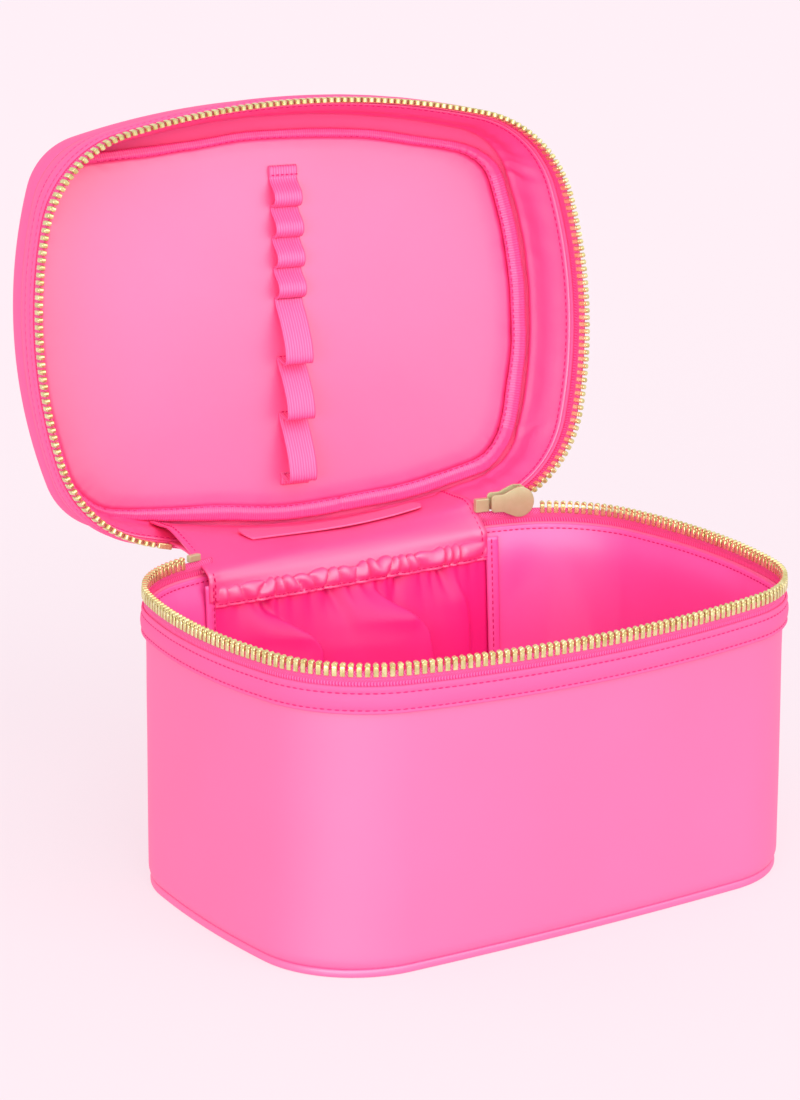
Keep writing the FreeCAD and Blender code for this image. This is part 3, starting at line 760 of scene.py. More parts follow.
    def keep(self, bm: BMesh, name: str, finish: Finish, body: Body | None,
             replaces: Sequence[str] = (), sharp: float | None = None) -> bpy.types.Object:
        """Turns a mesh into a finished piece.

        Args:
            bm: the mesh, which is used up.
            name: piece name.
            finish: its finish.
            body: body that it rides on, or None where it bends between bodies.
            replaces: frame nodes that it stands for.
            sharp: angle in degrees past which edges stay crisp.

        Returns:
            The new object.
        """
        for face in bm.faces:
            face.smooth = True
        mesh = bpy.data.meshes.new(name)
        bm.to_mesh(mesh)
        bm.free()
        if sharp:
            mesh.set_sharp_from_angle(angle=math.radians(sharp))
        mesh.materials.append(finish.material())
        piece = bpy.data.objects.new(name, mesh)
        bpy.context.scene.collection.objects.link(piece)
        if body:
            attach(piece, body.value)
        if replaces:
            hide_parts(*replaces)
        LOG.info("%s: %d faces", name, len(mesh.polygons))
        return piece

    def sew(self, name: str, frames: Iterable[Matrix], body: Body | None,
            size: tuple[float, ...] = ()) -> bpy.types.Object:
        """Makes rows of stitches.

        Args:
            name: piece name.
            frames: where each stitch goes.
            body: body that the stitches ride on, or None where they bend between bodies.
            size: length, width and height of a stitch where they aren't the usual ones.

        Returns:
            The new object.
        """
        return self.keep(self.repeat(self.stitch(*size), frames), name, THREAD, body)


SEWING = Sewing()


def stitch_frames(wall: Wall, height: float, grow: float, inside: bool = False) -> list[Matrix]:
    """Places for a row of stitches all the way round a wall.

    Args:
        wall: wall that carries the row.
        height: height of the row in millimetres.
        grow: distance outside the skin in millimetres.
        inside: sew on the inside of the wall.

    Returns:
        One matrix a stitch, with x along the row and z out of the cloth.
    """
    count = int(SIZES.round_length / SIZES.stitch_pitch)
    out = Matrix.Rotation(-math.pi / 2, 4, "X")
    frames = [wall.axes((i + 0.5) * SIZES.round_length / count, height, grow) @ out for i in range(count)]
    turn = Matrix.Rotation(math.pi, 4, "X")
    return [f @ turn for f in frames] if inside else frames


def line_frames(points: Sequence[Vector], normal: Vector, pitch: float) -> list[Matrix]:
    """Places for a row of stitches along a line of points.

    Args:
        points: the line in metres.
        normal: way out of the cloth.
        pitch: stitch length with its gap in millimetres.

    Returns:
        One matrix a stitch, with x along the row and z out of the cloth.
    """
    frames = []
    left = pitch * MM / 2
    for a, b in zip(points, points[1:]):
        length = (b - a).length
        while left < length:
            x = (b - a).normalized()
            frames.append(placed(a.lerp(b, left / length), x, normal.cross(x).normalized()))
            left += pitch * MM
        left -= length
    return frames


@dataclass
class CaseBody:
    """Padded body of the case: wall, rim band, welt, lining and floor."""

    welt_high: float = 3.5
    welt_thick: float = 3.0
    welt_inset: float = 0.6
    floor: float = 6.6
    band_rows: tuple[float, float] = (2.6, 9.1)
    band_groove: float = 0.62
    lining_row: tuple[float, float] = (111.9, -2.12)
    wall_swell: Wave = Wave(0.28, 52, 0, 0.8)
    wall_dent: Wave = Wave(0.07, 19, 9)
    band_dent: Wave = Wave(0.08, 9, 4, 3)
    floor_slack: Wave = Wave(0.5, 38, 3)
    lining_slack: Wave = Wave(0.9, 34, 2, 0.5)
    lining_fold: Wave = Wave(0.7, 14, 7, 0.22)

    def inset(self, height: float, rounding: float) -> float:
        """How far the rounded foot of a wall draws in."""
        if height >= rounding:
            return 0.0
        drop = rounding - height
        return rounding - math.sqrt(max(0.0, rounding * rounding - drop * drop))

    def build_wall(self) -> None:
        """Makes the outer skin with its padding, thinned to a seam under the zip."""
        top = SIZES.band_top - 0.2
        heights = [3.3, 3.7, 4.2, 4.9, 5.7, 6.7, 8.0, 9.6, 11.6, 14.0]
        heights += evenly(17, 103, 26) + [106.0, 110.0, top]
        outer = [(-self.inset(h, SIZES.base_round), h) for h in heights]
        inner = [(-0.95, top), (-1.0, 112.2), (-1.5, 109.8), (-2.5, 106.6), (-3.8, 101.5), (-3.85, 60.0),
                 (-3.85, 12.0), (-4.4, 7.0), (-5.2, 3.5)]

        def soft(along: float, height: float, grow: float) -> float:
            if (grow, height) in inner:
                return 0.0
            ease = smoothstep(4, 20, height) * (1 - smoothstep(92, 104, height))
            return ease * (self.wall_swell.at(along, height) + self.wall_dent.at(along, height))

        bm = SEWING.ring(BODY_WALL, outer + inner, count=420, soft=soft)
        wall = SEWING.keep(bm, "padded_wall", COATED, Body.CASE, ["body_wall", "body_foam"])

    def band_profile(self, start: float, way: int) -> Profile:
        """Closed profile of a folded band with two sewn-down lines.

        Args:
            start: height of the edge beside the zip.
            way: one where heights grow away from the zip, minus one where they shrink.

        Returns:
            Distances outside the skin and heights.
        """
        shape = [(0.03, 0.0), (0.5, -0.04), (0.8, 0.3), (0.96, 1.1), (0.88, 2.0), (0.56, 2.6), (0.92, 3.2),
                 (1.28, 4.4), (1.38, 5.8), (1.26, 7.4), (0.9, 8.5), (0.56, 9.1), (1.0, 9.6), (1.12, 10.1),
                 (0.9, 10.46), (0.1, 10.5), (0.03, 8.0), (0.03, 3.0)]
        return [(SIZES.tape_thick + grow, start + way * h) for grow, h in shape]

    def build_band(self, wall: Wall, start: float, way: int, body: Body, names: tuple[str, str, str]) -> None:
        """Makes a rim band and its stitches.

        Args:
            wall: wall that carries the band.
            start: height of its edge beside the zip.
            way: one where heights grow away from the zip, minus one where they shrink.
            body: body that the band rides on.
            names: names of the band, of its stitches and of the node that the band stands for.
        """
        def soft(along: float, height: float, grow: float) -> float:
            return self.band_dent.at(along, height) if grow > SIZES.tape_thick + 0.2 else 0.0

        bm = SEWING.ring(wall, self.band_profile(start, way), count=480, soft=soft)
        # Both rim bands take the shaded copy of the coated cloth, as painted shade.
        SEWING.keep(bm, names[0], SHADED_COATED, body, [names[2]])
        frames: list[Matrix] = []
        for off in self.band_rows:
            frames += stitch_frames(wall, start + way * off, SIZES.tape_thick + self.band_groove)
        SEWING.sew(names[1], frames, body)

    def build_welt(self) -> None:
        """Makes the welt round the bottom edge."""
        middle = -self.welt_inset - self.welt_thick / 2
        wide, high = self.welt_thick / 2, self.welt_high / 2
        profile = [(middle + wide * squared(math.cos(a), 0.7), high + high * squared(math.sin(a), 0.7))
                   for a in circle(16)]
        SEWING.keep(SEWING.ring(BODY_WALL, profile), "bottom_welt", WELT, Body.CASE, ["base_piping"])

    def build_floor(self) -> None:
        """Makes the bottom sheet and the floor lining, each from its outline to its middle."""
        edge = -self.welt_inset - self.welt_thick
        self.disc("bottom_panel", COATED, edge + 0.1, (0.0, 0.95), None, ["base_panel"])
        self.disc("floor_lining", LINING, -5.0, (3.6, self.floor), self.floor_slack,
                  ["base_lining", "base_foam"])

    def disc(self, name: str, finish: Finish, grow: float, span: tuple[float, float], slack: Wave | None,
             replaces: Sequence[str]) -> None:
        """Makes a flat soft slab inside the wall.

        Args:
            name: piece name.
            finish: its finish.
            grow: its edge's distance outside the skin.
            span: lower and upper height.
            slack: unevenness of its upper face, if any.
            replaces: nodes that it stands for.
        """
        low, high = span
        shares = [0.0, 0.25, 0.5, 0.7, 0.85, 0.95, 1.0]
        rows = [(s, low) for s in shares] + [(s, high) for s in reversed(shares)]
        count = 200
        stops = SIZES.stops(count)

        def place(column: int, row: int) -> Vector:
            share, height = rows[row]
            spot = BODY_WALL.point(stops[column], height, grow, share)
            if slack and height == high:
                spot.z += slack.at(spot.x / MM, spot.y / MM) * MM * (1 - share ** 6)
            return spot

        bm = SEWING.grid(count, len(rows) - 1, place, (SIZES.round_length, 170.0))
        SEWING.keep(bm, name, finish, Body.CASE, replaces)

    def build_lining(self) -> None:
        """Makes the cloth on the inside of the wall, drawn out to the zip tape along its top."""
        face = -SIZES.face
        heights = [6.2, 6.8, 7.6, 9.0, 12, 16] + evenly(20, 97, 20)
        inner = [(face - self.inset(max(0.0, h - 4.6), 3.4), h) for h in heights]
        inner += [(-4.5, 100.5), (-4.2, 103.5), (-3.7, 106.2), (-3.0, 108.8), (-2.4, 110.8), (-2.02, 112.2),
                  (-2.05, 113.0), (-1.8, 113.6), (-1.4, 113.8)]
        outer = [(-1.1, 113.6), (-1.15, 111.6), (-1.7, 109.6), (-2.65, 106.5), (-3.92, 101.2), (-3.95, 60.0),
                 (-3.95, 14.0), (-4.5, 7.2), (-5.2, 6.2)]

        def soft(along: float, height: float, grow: float) -> float:
            if (grow, height) in outer:
                return 0.0
            ease = smoothstep(6, 20, height)
            top = 1 - smoothstep(107, 112.5, height)
            slack = self.lining_slack.at(along, height) + self.lining_fold.at(along, height)
            return -abs(slack) * ease * top

        bm = SEWING.ring(BODY_WALL, inner + outer, count=420, soft=soft)
        lining = SEWING.keep(bm, "wall_lining", LINING, Body.CASE, ["body_lining"])
        SIZES.round_length * MM
        SIZES.round_length * 0.108 * MM
        SEWING.sew("lining_stitches", stitch_frames(BODY_WALL, *self.lining_row, inside=True), Body.CASE)

    def build(self) -> None:
        """Makes all of the body."""
        self.build_wall()
        self.build_band(BODY_WALL, SIZES.band_top, -1, Body.CASE,
                        ("rim_band", "rim_band_stitches", "body_rim_band"))
        self.build_welt()
        self.build_floor()
        self.build_lining()


@dataclass
class Zip:
    """The two rows of teeth on their tapes."""

    left: float = -80.0
    right: float = 91.0
    tape_left: float = -66.0
    tape_right: float = 62.0
    tape_deep: float = 16.2
    tape_bare: float = 0.5
    tooth_wide: float = 1.85
    tooth_thick: float = 2.4
    foot_over: float = 0.45
    shoulder: tuple[float, float] = (0.3, 0.9)
    head_radius: float = 1.08
    head_sides: int = 10
    head_share: float = 0.84
    dimple: tuple[float, float] = (0.2, 0.22)
    search: int = 8000

    def along_of(self, x: float) -> float:
        """Distance along the rim of a place on the back stretch, found by trying small steps."""
        reach = self.search // 5
        steps = [SIZES.round_length * i / self.search for i in range(-reach, reach)]

        def miss(s: float) -> float:
            stop = SIZES.station(s)
            return abs(SIZES.rim.at(stop.arc, stop.share, SIZES.chain_out).x - x)

        return min(steps, key=miss)

    def tooth(self) -> BMesh:
        """One clamped tooth: x along the row, y out of the cloth, its round head towards +z."""
        bm = bmesh.new()
        tip = SIZES.tooth / 2
        foot = tip + self.foot_over
        size = Matrix.Diagonal((self.tooth_wide * MM, self.tooth_thick * MM, foot * MM, 1.0))
        place = Matrix.Translation((0, 0, (foot / 2 - tip) * MM))
        bmesh.ops.create_cube(bm, size=1.0, matrix=place @ size)
        top = [f for f in bm.faces if f.normal.z > 0.9]
        inset, rise = self.shoulder
        bmesh.ops.inset_region(bm, faces=top, thickness=inset * MM, depth=rise * MM)
        SEWING.bevel(bm, SEWING.crisp(bm, 1.2), 0.22, 1)
        lift = Matrix.Translation((0, 0, (tip - self.head_radius) * MM))
        radius = self.head_radius * MM
        head = bmesh.ops.create_cone(bm, cap_ends=True, segments=self.head_sides, radius1=radius,
                                     radius2=radius, depth=self.head_share * self.tooth_thick * MM,
                                     matrix=lift @ Matrix.Rotation(math.pi / 2, 4, "X"))
        caps = {f for v in head["verts"] for f in v.link_faces if len(f.verts) == self.head_sides}
        SEWING.bevel(bm, list({e for f in caps for e in f.edges}), 0.26, 1)
        caps = [f for f in bm.faces if len(f.verts) == self.head_sides]
        inset, sink = self.dimple
        bmesh.ops.inset_individual(bm, faces=caps, thickness=inset * MM, depth=-sink * MM)
        return bm

    def row(self, wall: Wall, height: float, start: float, up: int) -> list[Matrix]:
        """Places of one row of teeth, clear of the hinge and the slider.

        Args:
            wall: wall that carries the row.
            height: height of the row's middle on it.
            start: distance of the first tooth from the back middle.
            up: one where the heads point up the wall, minus one where they point down.

        Returns:
            One matrix a tooth.
        """
        places = []
        count = int((SIZES.round_length - start) / SIZES.pitch)
        flip = Matrix.Identity(4) if up > 0 else Matrix.Rotation(math.pi, 4, "Y")
        for i in range(count + 1):
            along = start + i * SIZES.pitch
            stop = SIZES.station(along)
            spot = SIZES.rim.at(stop.arc, stop.share, SIZES.chain_out)
            if spot.y > SIZES.rim.depth / 3 and self.left < spot.x < self.right:
                continue
            places.append(wall.axes(along, height, SIZES.chain_out) @ flip)
        return places

    def tape_profile(self, way: int, zero: float) -> Profile:
        """Closed profile of the tape with its corded edge beside the teeth."""
        thick = SIZES.tape_thick
        out = [(thick - 0.01, self.tape_deep - 0.1), (thick - 0.01, 4.6), (thick + 0.02, 4.3),
               (thick + 0.2, 3.9), (thick + 0.2, 3.2), (thick, 2.8), (thick, self.tape_bare)]
        back = [(thick - g, h) for g, h in reversed(out)]
        return [(g, zero + way * h) for g, h in out + back]

    def build(self) -> None:
        """Makes both tapes and both rows of teeth."""
        whole = SIZES.round_length
        ends = (self.along_of(self.tape_right), whole + self.along_of(self.tape_left))
        bm = SEWING.ring(BODY_WALL, self.tape_profile(-1, SIZES.chain), count=420, span=ends)
        SEWING.keep(bm, "lower_zip_tape", TAPE, Body.CASE, ["body_zip_tape"])
        ends = (self.along_of(self.right + 1), whole + self.along_of(self.tape_left))
        bm = SEWING.ring(LID_WALL, self.tape_profile(1, 0.0), count=420, span=ends)
        SEWING.keep(bm, "upper_zip_tape", TAPE, Body.LID, ["lid_zip_tape"])
        lower = self.row(BODY_WALL, SIZES.chain, SIZES.pitch / 2, 1)
        SEWING.keep(SEWING.repeat(self.tooth(), lower), "lower_zip_teeth", GOLD, Body.CASE,
                    ["body_zip_teeth"], sharp=35)
        upper = self.row(LID_WALL, 0.0, SIZES.pitch, -1)
        SEWING.keep(SEWING.repeat(self.tooth(), upper), "upper_zip_teeth", GOLD, Body.LID,
                    ["lid_zip_teeth"], sharp=35)


@dataclass
class Lid:
    """Padded lid: wall, top, rim band, lining, inside panel and binding."""

    body: CaseBody
    crown_radius: float = 1400.0
    crown: float = 2.8
    panel_edge: float = 1.2
    binding_high: float = 4.5
    binding_inner: tuple[float, float] = (-14.6, -8.6)
    binding_half: tuple[float, float] = (3.3, 1.6)
    binding_thin: tuple[float, float] = (-16.4, 2.0)
    binding_join: float = 18.0
    binding_stitch: tuple[float, float, float] = (1.8, 0.5, 0.34)
    top_crown: float = 2.0
    wall_dent: Wave = Wave(0.2, 34, 12)
    top_dent: Wave = Wave(0.3, 42, 5)
    lining_fold: Wave = Wave(1.0, 11, 21, 0.5)
    lining_slack: Wave = Wave(0.4, 34, 25, 0.4)
    panel_dent: Wave = Wave(0.25, 55, 31)
    panel_pucker: Wave = Wave(0.6, 8, 33)
    binding_wander: Wave = Wave(0.8, 24, 45)
    binding_crease: Wave = Wave(0.95, 5, 41)
    binding_swell: Wave = Wave(0.7, 17, 43)

    @cached_property
    def panel(self) -> Outline:
        """Outline of the lid at the inside panel."""
        return SIZES.rim.mixed(SIZES.top, SIZES.lid_seam / SIZES.lid_height)

    def build_shell(self) -> None:
        """Makes the lid's side wall and its top with the rounded edge."""
        start, seam = SIZES.band_start, SIZES.lid_seam - 3
        outer = [(0.0, h) for h in evenly(start + 0.2, seam - 0.2, 12)]
        inner = [(-3.85, seam - 0.2), (-3.85, 18.0), (-2.6, 13.5), (-1.0, 9.0), (-0.95, start + 0.2)]

        def soft(along: float, height: float, grow: float) -> float:
            return self.wall_dent.at(along, height) * smoothstep(17, 23, height) if grow == 0 else 0.0

        bm = SEWING.ring(LID_WALL, outer + inner, soft=soft)
        # The lid's wall and top take the shaded copy of the coated cloth, as painted shade.
        wall = SEWING.keep(bm, "lid_padded_wall", SHADED_COATED, Body.LID, ["lid_wall", "lid_wall_foam"])
        top, rounding = SIZES.lid_height, SIZES.lid_round
        turns = [math.radians(90 * i / 9) for i in range(10)]
        rim = [(-rounding + rounding * math.cos(a), top - rounding + rounding * math.sin(a)) for a in turns]
        rows = [(-0.35, seam - 0.1, 1.0), (0.0, seam + 0.5, 1.0)] + [(g, h, 1.0) for g, h in rim]
        shares = [0.94, 0.85, 0.72, 0.56, 0.38, 0.2, 0.0]
        rows += [(-rounding, top, s) for s in shares]
        rows += [(-rounding, SIZES.lid_seam, s) for s in reversed(shares)]
        rows += [(-3.9, SIZES.lid_seam, 1.0), (-3.9, seam - 0.1, 1.0), (-0.35, seam - 0.1, 1.0)]
        count = 240
        stops = SIZES.stops(count)
        up = (SIZES.opened.to_3x3() @ Vector((0, 0, 1))) * MM

        def place(column: int, row: int) -> Vector:
            grow, height, share = rows[row]
            spot = LID_WALL.point(stops[column], height, grow, share)
            if height < top or share == 1:
                return spot
            swell = self.top_crown * (1 - share ** 2)
            return spot + up * (swell + self.top_dent.at(spot.x / MM, spot.z / MM) * (1 - share))

        bm = SEWING.grid(count, len(rows) - 1, place, (SIZES.round_length, 220.0))
        piece = SEWING.keep(bm, "lid_padded_top", SHADED_COATED, Body.LID, ["lid_top", "lid_foam"])

    def build_lining(self) -> None:
        """Makes the loose lining of the lid's side."""
        face = -SIZES.face
        low, high = SIZES.band_start + 1.0, SIZES.lid_seam - 0.4
        row = low + 1.7
        inner = [(-1.4, low), (-1.8, low + 0.2), (-2.05, low + 0.9), (-2.02, row), (-2.4, low + 3.2),
                 (-3.1, low + 5.2), (-3.9, low + 7.8), (-4.4, low + 10.0)]
        inner += [(face - 0.5 * (i / 5) ** 2, lerp(low + 12.0, high - 5.5, i / 5)) for i in range(6)]
        inner += [(-5.6, high - 4.4), (-6.2, high - 3.4), (-6.4, high - 2.4), (-6.0, high - 1.4),
                  (-5.4, high - 0.4)]
        outer = [(-5.0, high + 0.3), (-3.95, high + 0.3), (-3.95, 18.4), (-2.7, 14.0), (-1.2, 9.4),
                 (-1.1, low + 0.1)]

        def soft(along: float, height: float, grow: float) -> float:
            if (grow, height) in outer:
                return 0.0
            ease = smoothstep(low + 2, low + 8, height) * (1 - 0.6 * smoothstep(high - 7, high, height))
            corner = 1.0 if SIZES.station(along).arc in CORNERS else 0.0
            folds = (0.8 + 0.9 * corner) * abs(self.lining_fold.at(along, height))
            return -ease * (folds + abs(self.lining_slack.at(along, height)))

        bm = SEWING.ring(LID_WALL, inner + outer, count=480, soft=soft)
        lining = SEWING.keep(bm, "lid_side_lining", PANEL_CLOTH, Body.LID, ["lid_wall_lining"])
        SIZES.round_length * MM
        frames = stitch_frames(LID_WALL, row, self.body.lining_row[1], inside=True)
        SEWING.sew("lid_lining_stitches", frames, Body.LID)

    def shut(self, x: float, y: float, w: float) -> Vector:
        """Carries a point of the shut lid, with its depth from the teeth, to the open pose."""
        return SIZES.opened @ (Vector((x, y, SIZES.lid_z + w)) * MM)

    def at(self, u: float, v: float, w: float) -> Vector:
        """Point of the open lid: along the hinge, from its back edge to its front, and into the lid."""
        return self.shut(u, SIZES.rim.depth / 2 + SIZES.chain_out - v, w)

    def way(self, u: float, v: float, w: float) -> Vector:
        """Unit vector of the open lid along the same three axes."""
        return (self.at(u, v, w) - self.at(0, 0, 0)).normalized()

    def panel_w(self, x: float, y: float) -> float:
        """Depth of the inside panel's face at a place on it."""
        off = (x - self.panel.x) ** 2 + (y - self.panel.y) ** 2
        sag = self.crown_radius - math.sqrt(self.crown_radius ** 2 - off)
        return SIZES.lid_seam - self.panel_edge - self.crown * math.exp(-sag / self.crown)

    def binding(self, stop: Station) -> tuple[float, float]:
        """Inner edge and half width of the binding, pressed flat on the left and drawn thin in front."""
        spot = self.panel.at(stop.arc, stop.share, 0.0)
        press = smoothstep(40.0, 112.0, -spot.x)
        thin = smoothstep(55.0, 88.0, -spot.y) * (1 - press)
        sides = [lerp(wide, flat, press) for wide, flat in (self.binding_inner, self.binding_half)]
        wander = self.binding_wander.at(spot.x, spot.y)
        return lerp(sides[0], self.binding_thin[0], thin) + wander, lerp(sides[1], self.binding_thin[1], thin)

    def build_panel(self) -> None:
        """Makes the padded inside panel, from its middle to its edge."""
        shares = [0.0, 0.2, 0.4, 0.58, 0.72, 0.83, 0.9, 0.94, 0.97, 1.0]
        rows = [(s, True) for s in shares] + [(s, False) for s in reversed(shares)]
        count = 320
        stops = SIZES.stops(count)

        def place(column: int, row: int) -> Vector:
            share, face = rows[row]
            stop = stops[column]
            edge = self.binding(stop)[0] + 1.0
            spot = self.panel.middle.lerp(self.panel.at(stop.arc, stop.share, edge), share)
            if not face:
                return self.shut(spot.x, spot.y, SIZES.lid_seam - 0.1)
            w = self.panel_w(spot.x, spot.y) + self.panel_dent.at(spot.x, spot.y) * (1 - share ** 8)
            tuck = smoothstep(0.92, 1.0, share)
            pucker = abs(self.panel_pucker.at(SIZES.round_length * (column % count) / count)) * tuck
            return self.shut(spot.x, spot.y, min(w + 0.9 * tuck + pucker, SIZES.lid_seam - 0.3))

        bm = SEWING.grid(count, len(rows) - 1, place, (SIZES.round_length, 200.0))
        panel = SEWING.keep(bm, "lid_padded_panel", PANEL_CLOTH, Body.LID, ["lid_panel"])

    def build_binding(self) -> None:
        """Makes the ribbed binding that is puckered round the inside panel, and its stitch row."""
        high = self.binding_high / 2
        turn = circle(20)
        count = 560

        def crease(along: float) -> float:
            stop = SIZES.station(along)
            bend = 1.0 if stop.arc in CORNERS else 0.45
            seam = math.exp(-((along - self.binding_join) / 1.1) ** 2) * 1.3
            return bend * self.binding_crease.at(along) + self.binding_swell.at(along) - seam

        def place(column: int, row: int) -> Vector:
            along = SIZES.round_length * (column % count) / count
            stop = SIZES.station(along)
            a = turn[row % len(turn)]
            fold = crease(along)
            dent = 0.5 * math.exp(-((math.degrees(a) - 290) / 14) ** 2)
            inner, half = self.binding(stop)
            middle = inner + half
            spot = self.panel.at(stop.arc, stop.share, middle + (half + 0.3 * fold) * math.cos(a))
            face = max(0.0, -math.sin(a))
            w = SIZES.lid_seam - high + (high + 0.55 * fold * face - dent) * math.sin(a)
            return self.shut(spot.x, spot.y, w)

        bm = SEWING.grid(count, len(turn), place, (SIZES.round_length, 24.0))
        SEWING.keep(bm, "panel_binding", GROSGRAIN, Body.LID, ["lid_binding"])
        line = []
        for stop in SIZES.stops(360):
            spot = self.panel.at(stop.arc, stop.share, self.binding(stop)[0] + 0.5)
            line.append(self.shut(spot.x, spot.y, SIZES.lid_seam - high - 1.15))
        frames = line_frames(line, self.way(0, 0, -1), SIZES.stitch_pitch)
        SEWING.sew("binding_stitches", frames, Body.LID, self.binding_stitch)

    def build(self) -> None:
        """Makes all of the lid's cloth."""
        self.build_shell()
        self.body.build_band(LID_WALL, SIZES.band_start, 1, Body.LID,
                             ("lid_rim_band_cloth", "lid_band_stitches", "lid_rim_band"))
        self.build_lining()
        self.build_panel()
        self.build_binding()


@dataclass
class BrushElastic:
    """Elastic strip sewn to the lid's panel in loops that sag towards the hinge."""

    lid: Lid
    width: float = 12.7
    thick: float = 0.9
    start: float = 29.0
    length: float = 126.5
    large: tuple[float, ...] = (26.5, 23.6, 25.2)
    small: tuple[float, ...] = (12.8, 12.8, 12.8, 12.8)
    large_rise: float = 11.0
    small_rise: float = 6.6
    tail: float = 4.0
    near_u: float = -5.6
    far_u: float = -3.6
    tack: tuple[float, float, float] = (1.4, 0.6, 0.4)
    tack_reach: float = 5.8
    tack_pitch: float = 2.1

    def point(self, v: float, lift: float, side: float = 0.0) -> Vector:
        """Point of the strip at a distance from the hinge side and above the panel's face."""
        u = lerp(self.near_u, self.far_u, (v - self.start) / self.length)
        y = SIZES.rim.depth / 2 + SIZES.chain_out - v
        return self.lid.at(u + side, v, self.lid.panel_w(u, y) - lift)

    def loop(self, v: float, span: float) -> list[Vector]:
        """Side view of one loop, from its foot by the hinge to the next foot.

        Args:
            v: distance of its first foot from the hinge side.
            span: distance between its feet.

        Returns:
            Distance and lift at points along the loop.
        """
        large = span in self.large
        rise = self.large_rise if large else self.small_rise
        if large:
            shape = [(0.0, 0.55), (-0.6, 0.22 * rise), (-1.8, 0.55 * rise), (-2.2, 0.84 * rise),
                     (-0.8, 1.0 * rise), (0.12 * span, 0.99 * rise), (0.3 * span, 0.88 * rise),
                     (0.5 * span, 0.66 * rise), (0.7 * span, 0.4 * rise), (0.86 * span, 0.15 * rise),
                     (0.95 * span, 0.7)]
        else:
            shape = [(0.0, 0.55), (0.02 * span, 0.25 * rise), (0.05 * span, 0.62 * rise),
                     (0.14 * span, 0.9 * rise), (0.28 * span, 1.0 * rise), (0.45 * span, 0.9 * rise),
                     (0.62 * span, 0.6 * rise), (0.78 * span, 0.28 * rise), (0.94 * span, 0.7)]
        knots = [Vector((v + a, h, 0)) for a, h in shape]
        return [spline(knots, share) for share in evenly(0, 1, 22)]

    def build(self) -> None:
        """Makes the strip with its turned-under ends and the rows that hold it."""
        path = [Vector((self.start + 1.0, 0.35, 0)), Vector((self.start - self.tail + 0.4, 0.35, 0)),
                Vector((self.start - self.tail, 0.95, 0)), Vector((self.start - self.tail + 0.5, 1.5, 0)),
                Vector((self.start - 1.2, 1.45, 0))]
        feet = [self.start]
        v = self.start
        for span in self.large + self.small:
            path += self.loop(v, span)
            v += span
            feet.append(v)
        path += [Vector((v, 1.2, 0)), Vector((v + 1.0, 1.45, 0)), Vector((v + self.tail - 0.5, 1.5, 0)),
                 Vector((v + self.tail, 0.95, 0)), Vector((v + self.tail - 0.4, 0.35, 0)),
                 Vector((v - 0.5, 0.35, 0))]
        points = [self.point(p.x, p.y) for p in path]
        bm = SEWING.strap(points, self.lid.way(1, 0, 0), self.width, self.thick, steps=12, lip=0.14)
        SEWING.keep(bm, "brush_loops", ELASTIC, Body.LID, ["brush_elastic"])
        frames: list[Matrix] = []
        for i, foot in enumerate(feet):
            lift = 1.9 if i in (0, len(feet) - 1) else 1.05
            ends = [self.point(foot + 0.4, lift, u) for u in (-self.tack_reach, self.tack_reach)]
            frames += line_frames(ends, self.lid.way(0, 0, -1), self.tack_pitch)
        SEWING.sew("loop_tacks", frames, Body.LID, self.tack)


